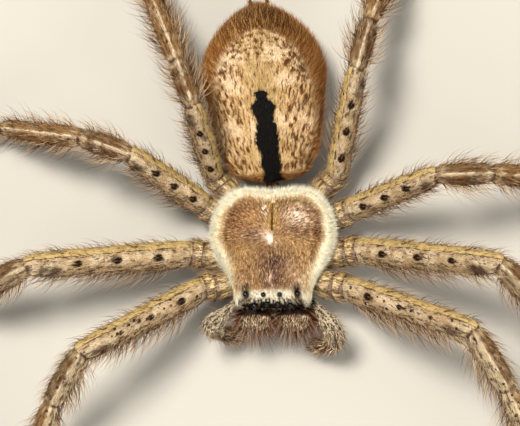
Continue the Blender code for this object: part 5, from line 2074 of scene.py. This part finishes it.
SHORT_LEG = Layer("cover", "reach", 30.0, 0.8, 0.042, 17.0, 0.0, 0.5, 0.3, 1, 3)
LONG_LEG = Layer("fringe", "fringe_reach", 17.0, 5.0, 0.07, 52.0, 0.3, 0.4, 0.16, 3, 5)
BACK_FUR = Layer("cover", "reach", 82.0, 0.62, 0.05, 13.0, 0.0, 0.4, 0.25, 1, 7)
BORDER_FUR = Layer("fringe", "fringe_reach", 52.0, 1.5, 0.042, 32.0, 0.1, 0.5, 0.35, 2, 11)
SHIELD_FUR = Layer("cover", "reach", 210.0, 0.42, 0.038, 15.0, 0.0, 0.4, 0.35, 1, 13)
MARGIN_FUR = Layer("fringe", "fringe_reach", 120.0, 1.1, 0.044, 24.0, 0.1, 0.4, 0.35, 2, 17)
FACE_HAIR = Layer("face", "reach", 2.5, 1.4, 0.045, 35.0, 0.1, 0.5, 0.6, 3, 37)
JAW_FUR = Layer("cover", "reach", 80.0, 0.62, 0.045, 24.0, 0.0, 0.4, 0.5, 1, 19)
JAW_BRISTLES = Layer("fringe", "fringe_reach", 17.0, 4.7, 0.058, 48.0, 0.03, 0.5, 0.4, 3, 23)
PALP_FUR = Layer("cover", "reach", 26.0, 0.7, 0.045, 16.0, 0.0, 0.4, 0.25, 1, 29)
PALP_BRISTLES = Layer("fringe", "fringe_reach", 18.0, 2.0, 0.055, 40.0, 0.15, 0.45, 0.35, 3, 31)


def main() -> None:
    """Builds the spider piece by piece."""
    logging.basicConfig(level=logging.INFO, format="%(message)s")
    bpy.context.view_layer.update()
    maker = Maker()
    Room().build(maker)
    coat = CoatTree()
    leg_look = LegFinish().material()
    abdomen_look = AbdomenFinish().material()
    shield_look = CarapaceFinish().material()
    jaw_look = JawFinish().material()
    under_look = PlainFinish("underside_finish", paint(112, 78, 52), paint(80, 52, 34), 0.55).material()
    eye_look = PlainFinish("eye_finish", paint(12, 8, 5), paint(4, 3, 2), 0.14, 400.0).material()
    fang_look = PlainFinish("fang_finish", paint(40, 18, 14), paint(18, 9, 8), 0.18, 500.0, 0.5).material()
    spine_look = PlainFinish("spine_finish", paint(128, 94, 62), paint(62, 38, 22), 0.35).material()
    long_look = LongHairFinish("long_hair_finish").material()
    bristle_look = LongHairFinish(
        "bristle_finish", paint(190, 156, 128), paint(128, 76, 42), paint(44, 24, 16)
    ).material()

    shield = Carapace().build(maker, shield_look, under_look)
    coat.grow(shield, SHIELD_FUR, shield_look, "coat_carapace", "carapace_coat")
    coat.grow(shield, MARGIN_FUR, shield_look, "coat_carapace_margin", "carapace_coat")
    coat.grow(shield, FACE_HAIR, bristle_look, "bristles_face", "carapace_coat")
    Eyes().build(maker, eye_look)
    abdomen = Abdomen().build(maker, abdomen_look)
    coat.grow(abdomen, BACK_FUR, abdomen_look, "coat_abdomen", "abdomen_coat")
    coat.grow(abdomen, BORDER_FUR, abdomen_look, "coat_abdomen_border", "abdomen_coat")
    legs = []
    for side in Side:
        jaw = Jaw(side).build(maker, jaw_look, fang_look)
        coat.grow(jaw, JAW_FUR, jaw_look, f"coat_jaw_{side.word}", "leg_coat")
        coat.grow(jaw, JAW_BRISTLES, bristle_look, f"bristles_jaw_{side.word}", "leg_coat")
        palp = Palp(side).build(maker, jaw_look)
        coat.grow(palp, PALP_FUR, jaw_look, f"coat_palp_{side.word}", "leg_coat")
        coat.grow(palp, PALP_BRISTLES, long_look, f"bristles_palp_{side.word}", "leg_coat")
        for pair in LegPair:
            leg = Leg(side, pair)
            skin = leg.build(maker, leg_look)
            coat.grow(skin, SHORT_LEG, leg_look, f"coat_{leg.name}", "leg_coat")
            coat.grow(skin, LONG_LEG, long_look, f"fringe_{leg.name}", "leg_coat")
            legs.append(leg)
    spikes = SpikeTree()
    spikes.build(maker, "leg_spines", leg_spines(legs), 0.08, spine_look, "leg_coat")
    spikes.build(maker, "leg_claws", leg_claws(legs), 0.35, fang_look, "fang")
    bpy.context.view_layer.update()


if __name__ == "__main__":
    main()
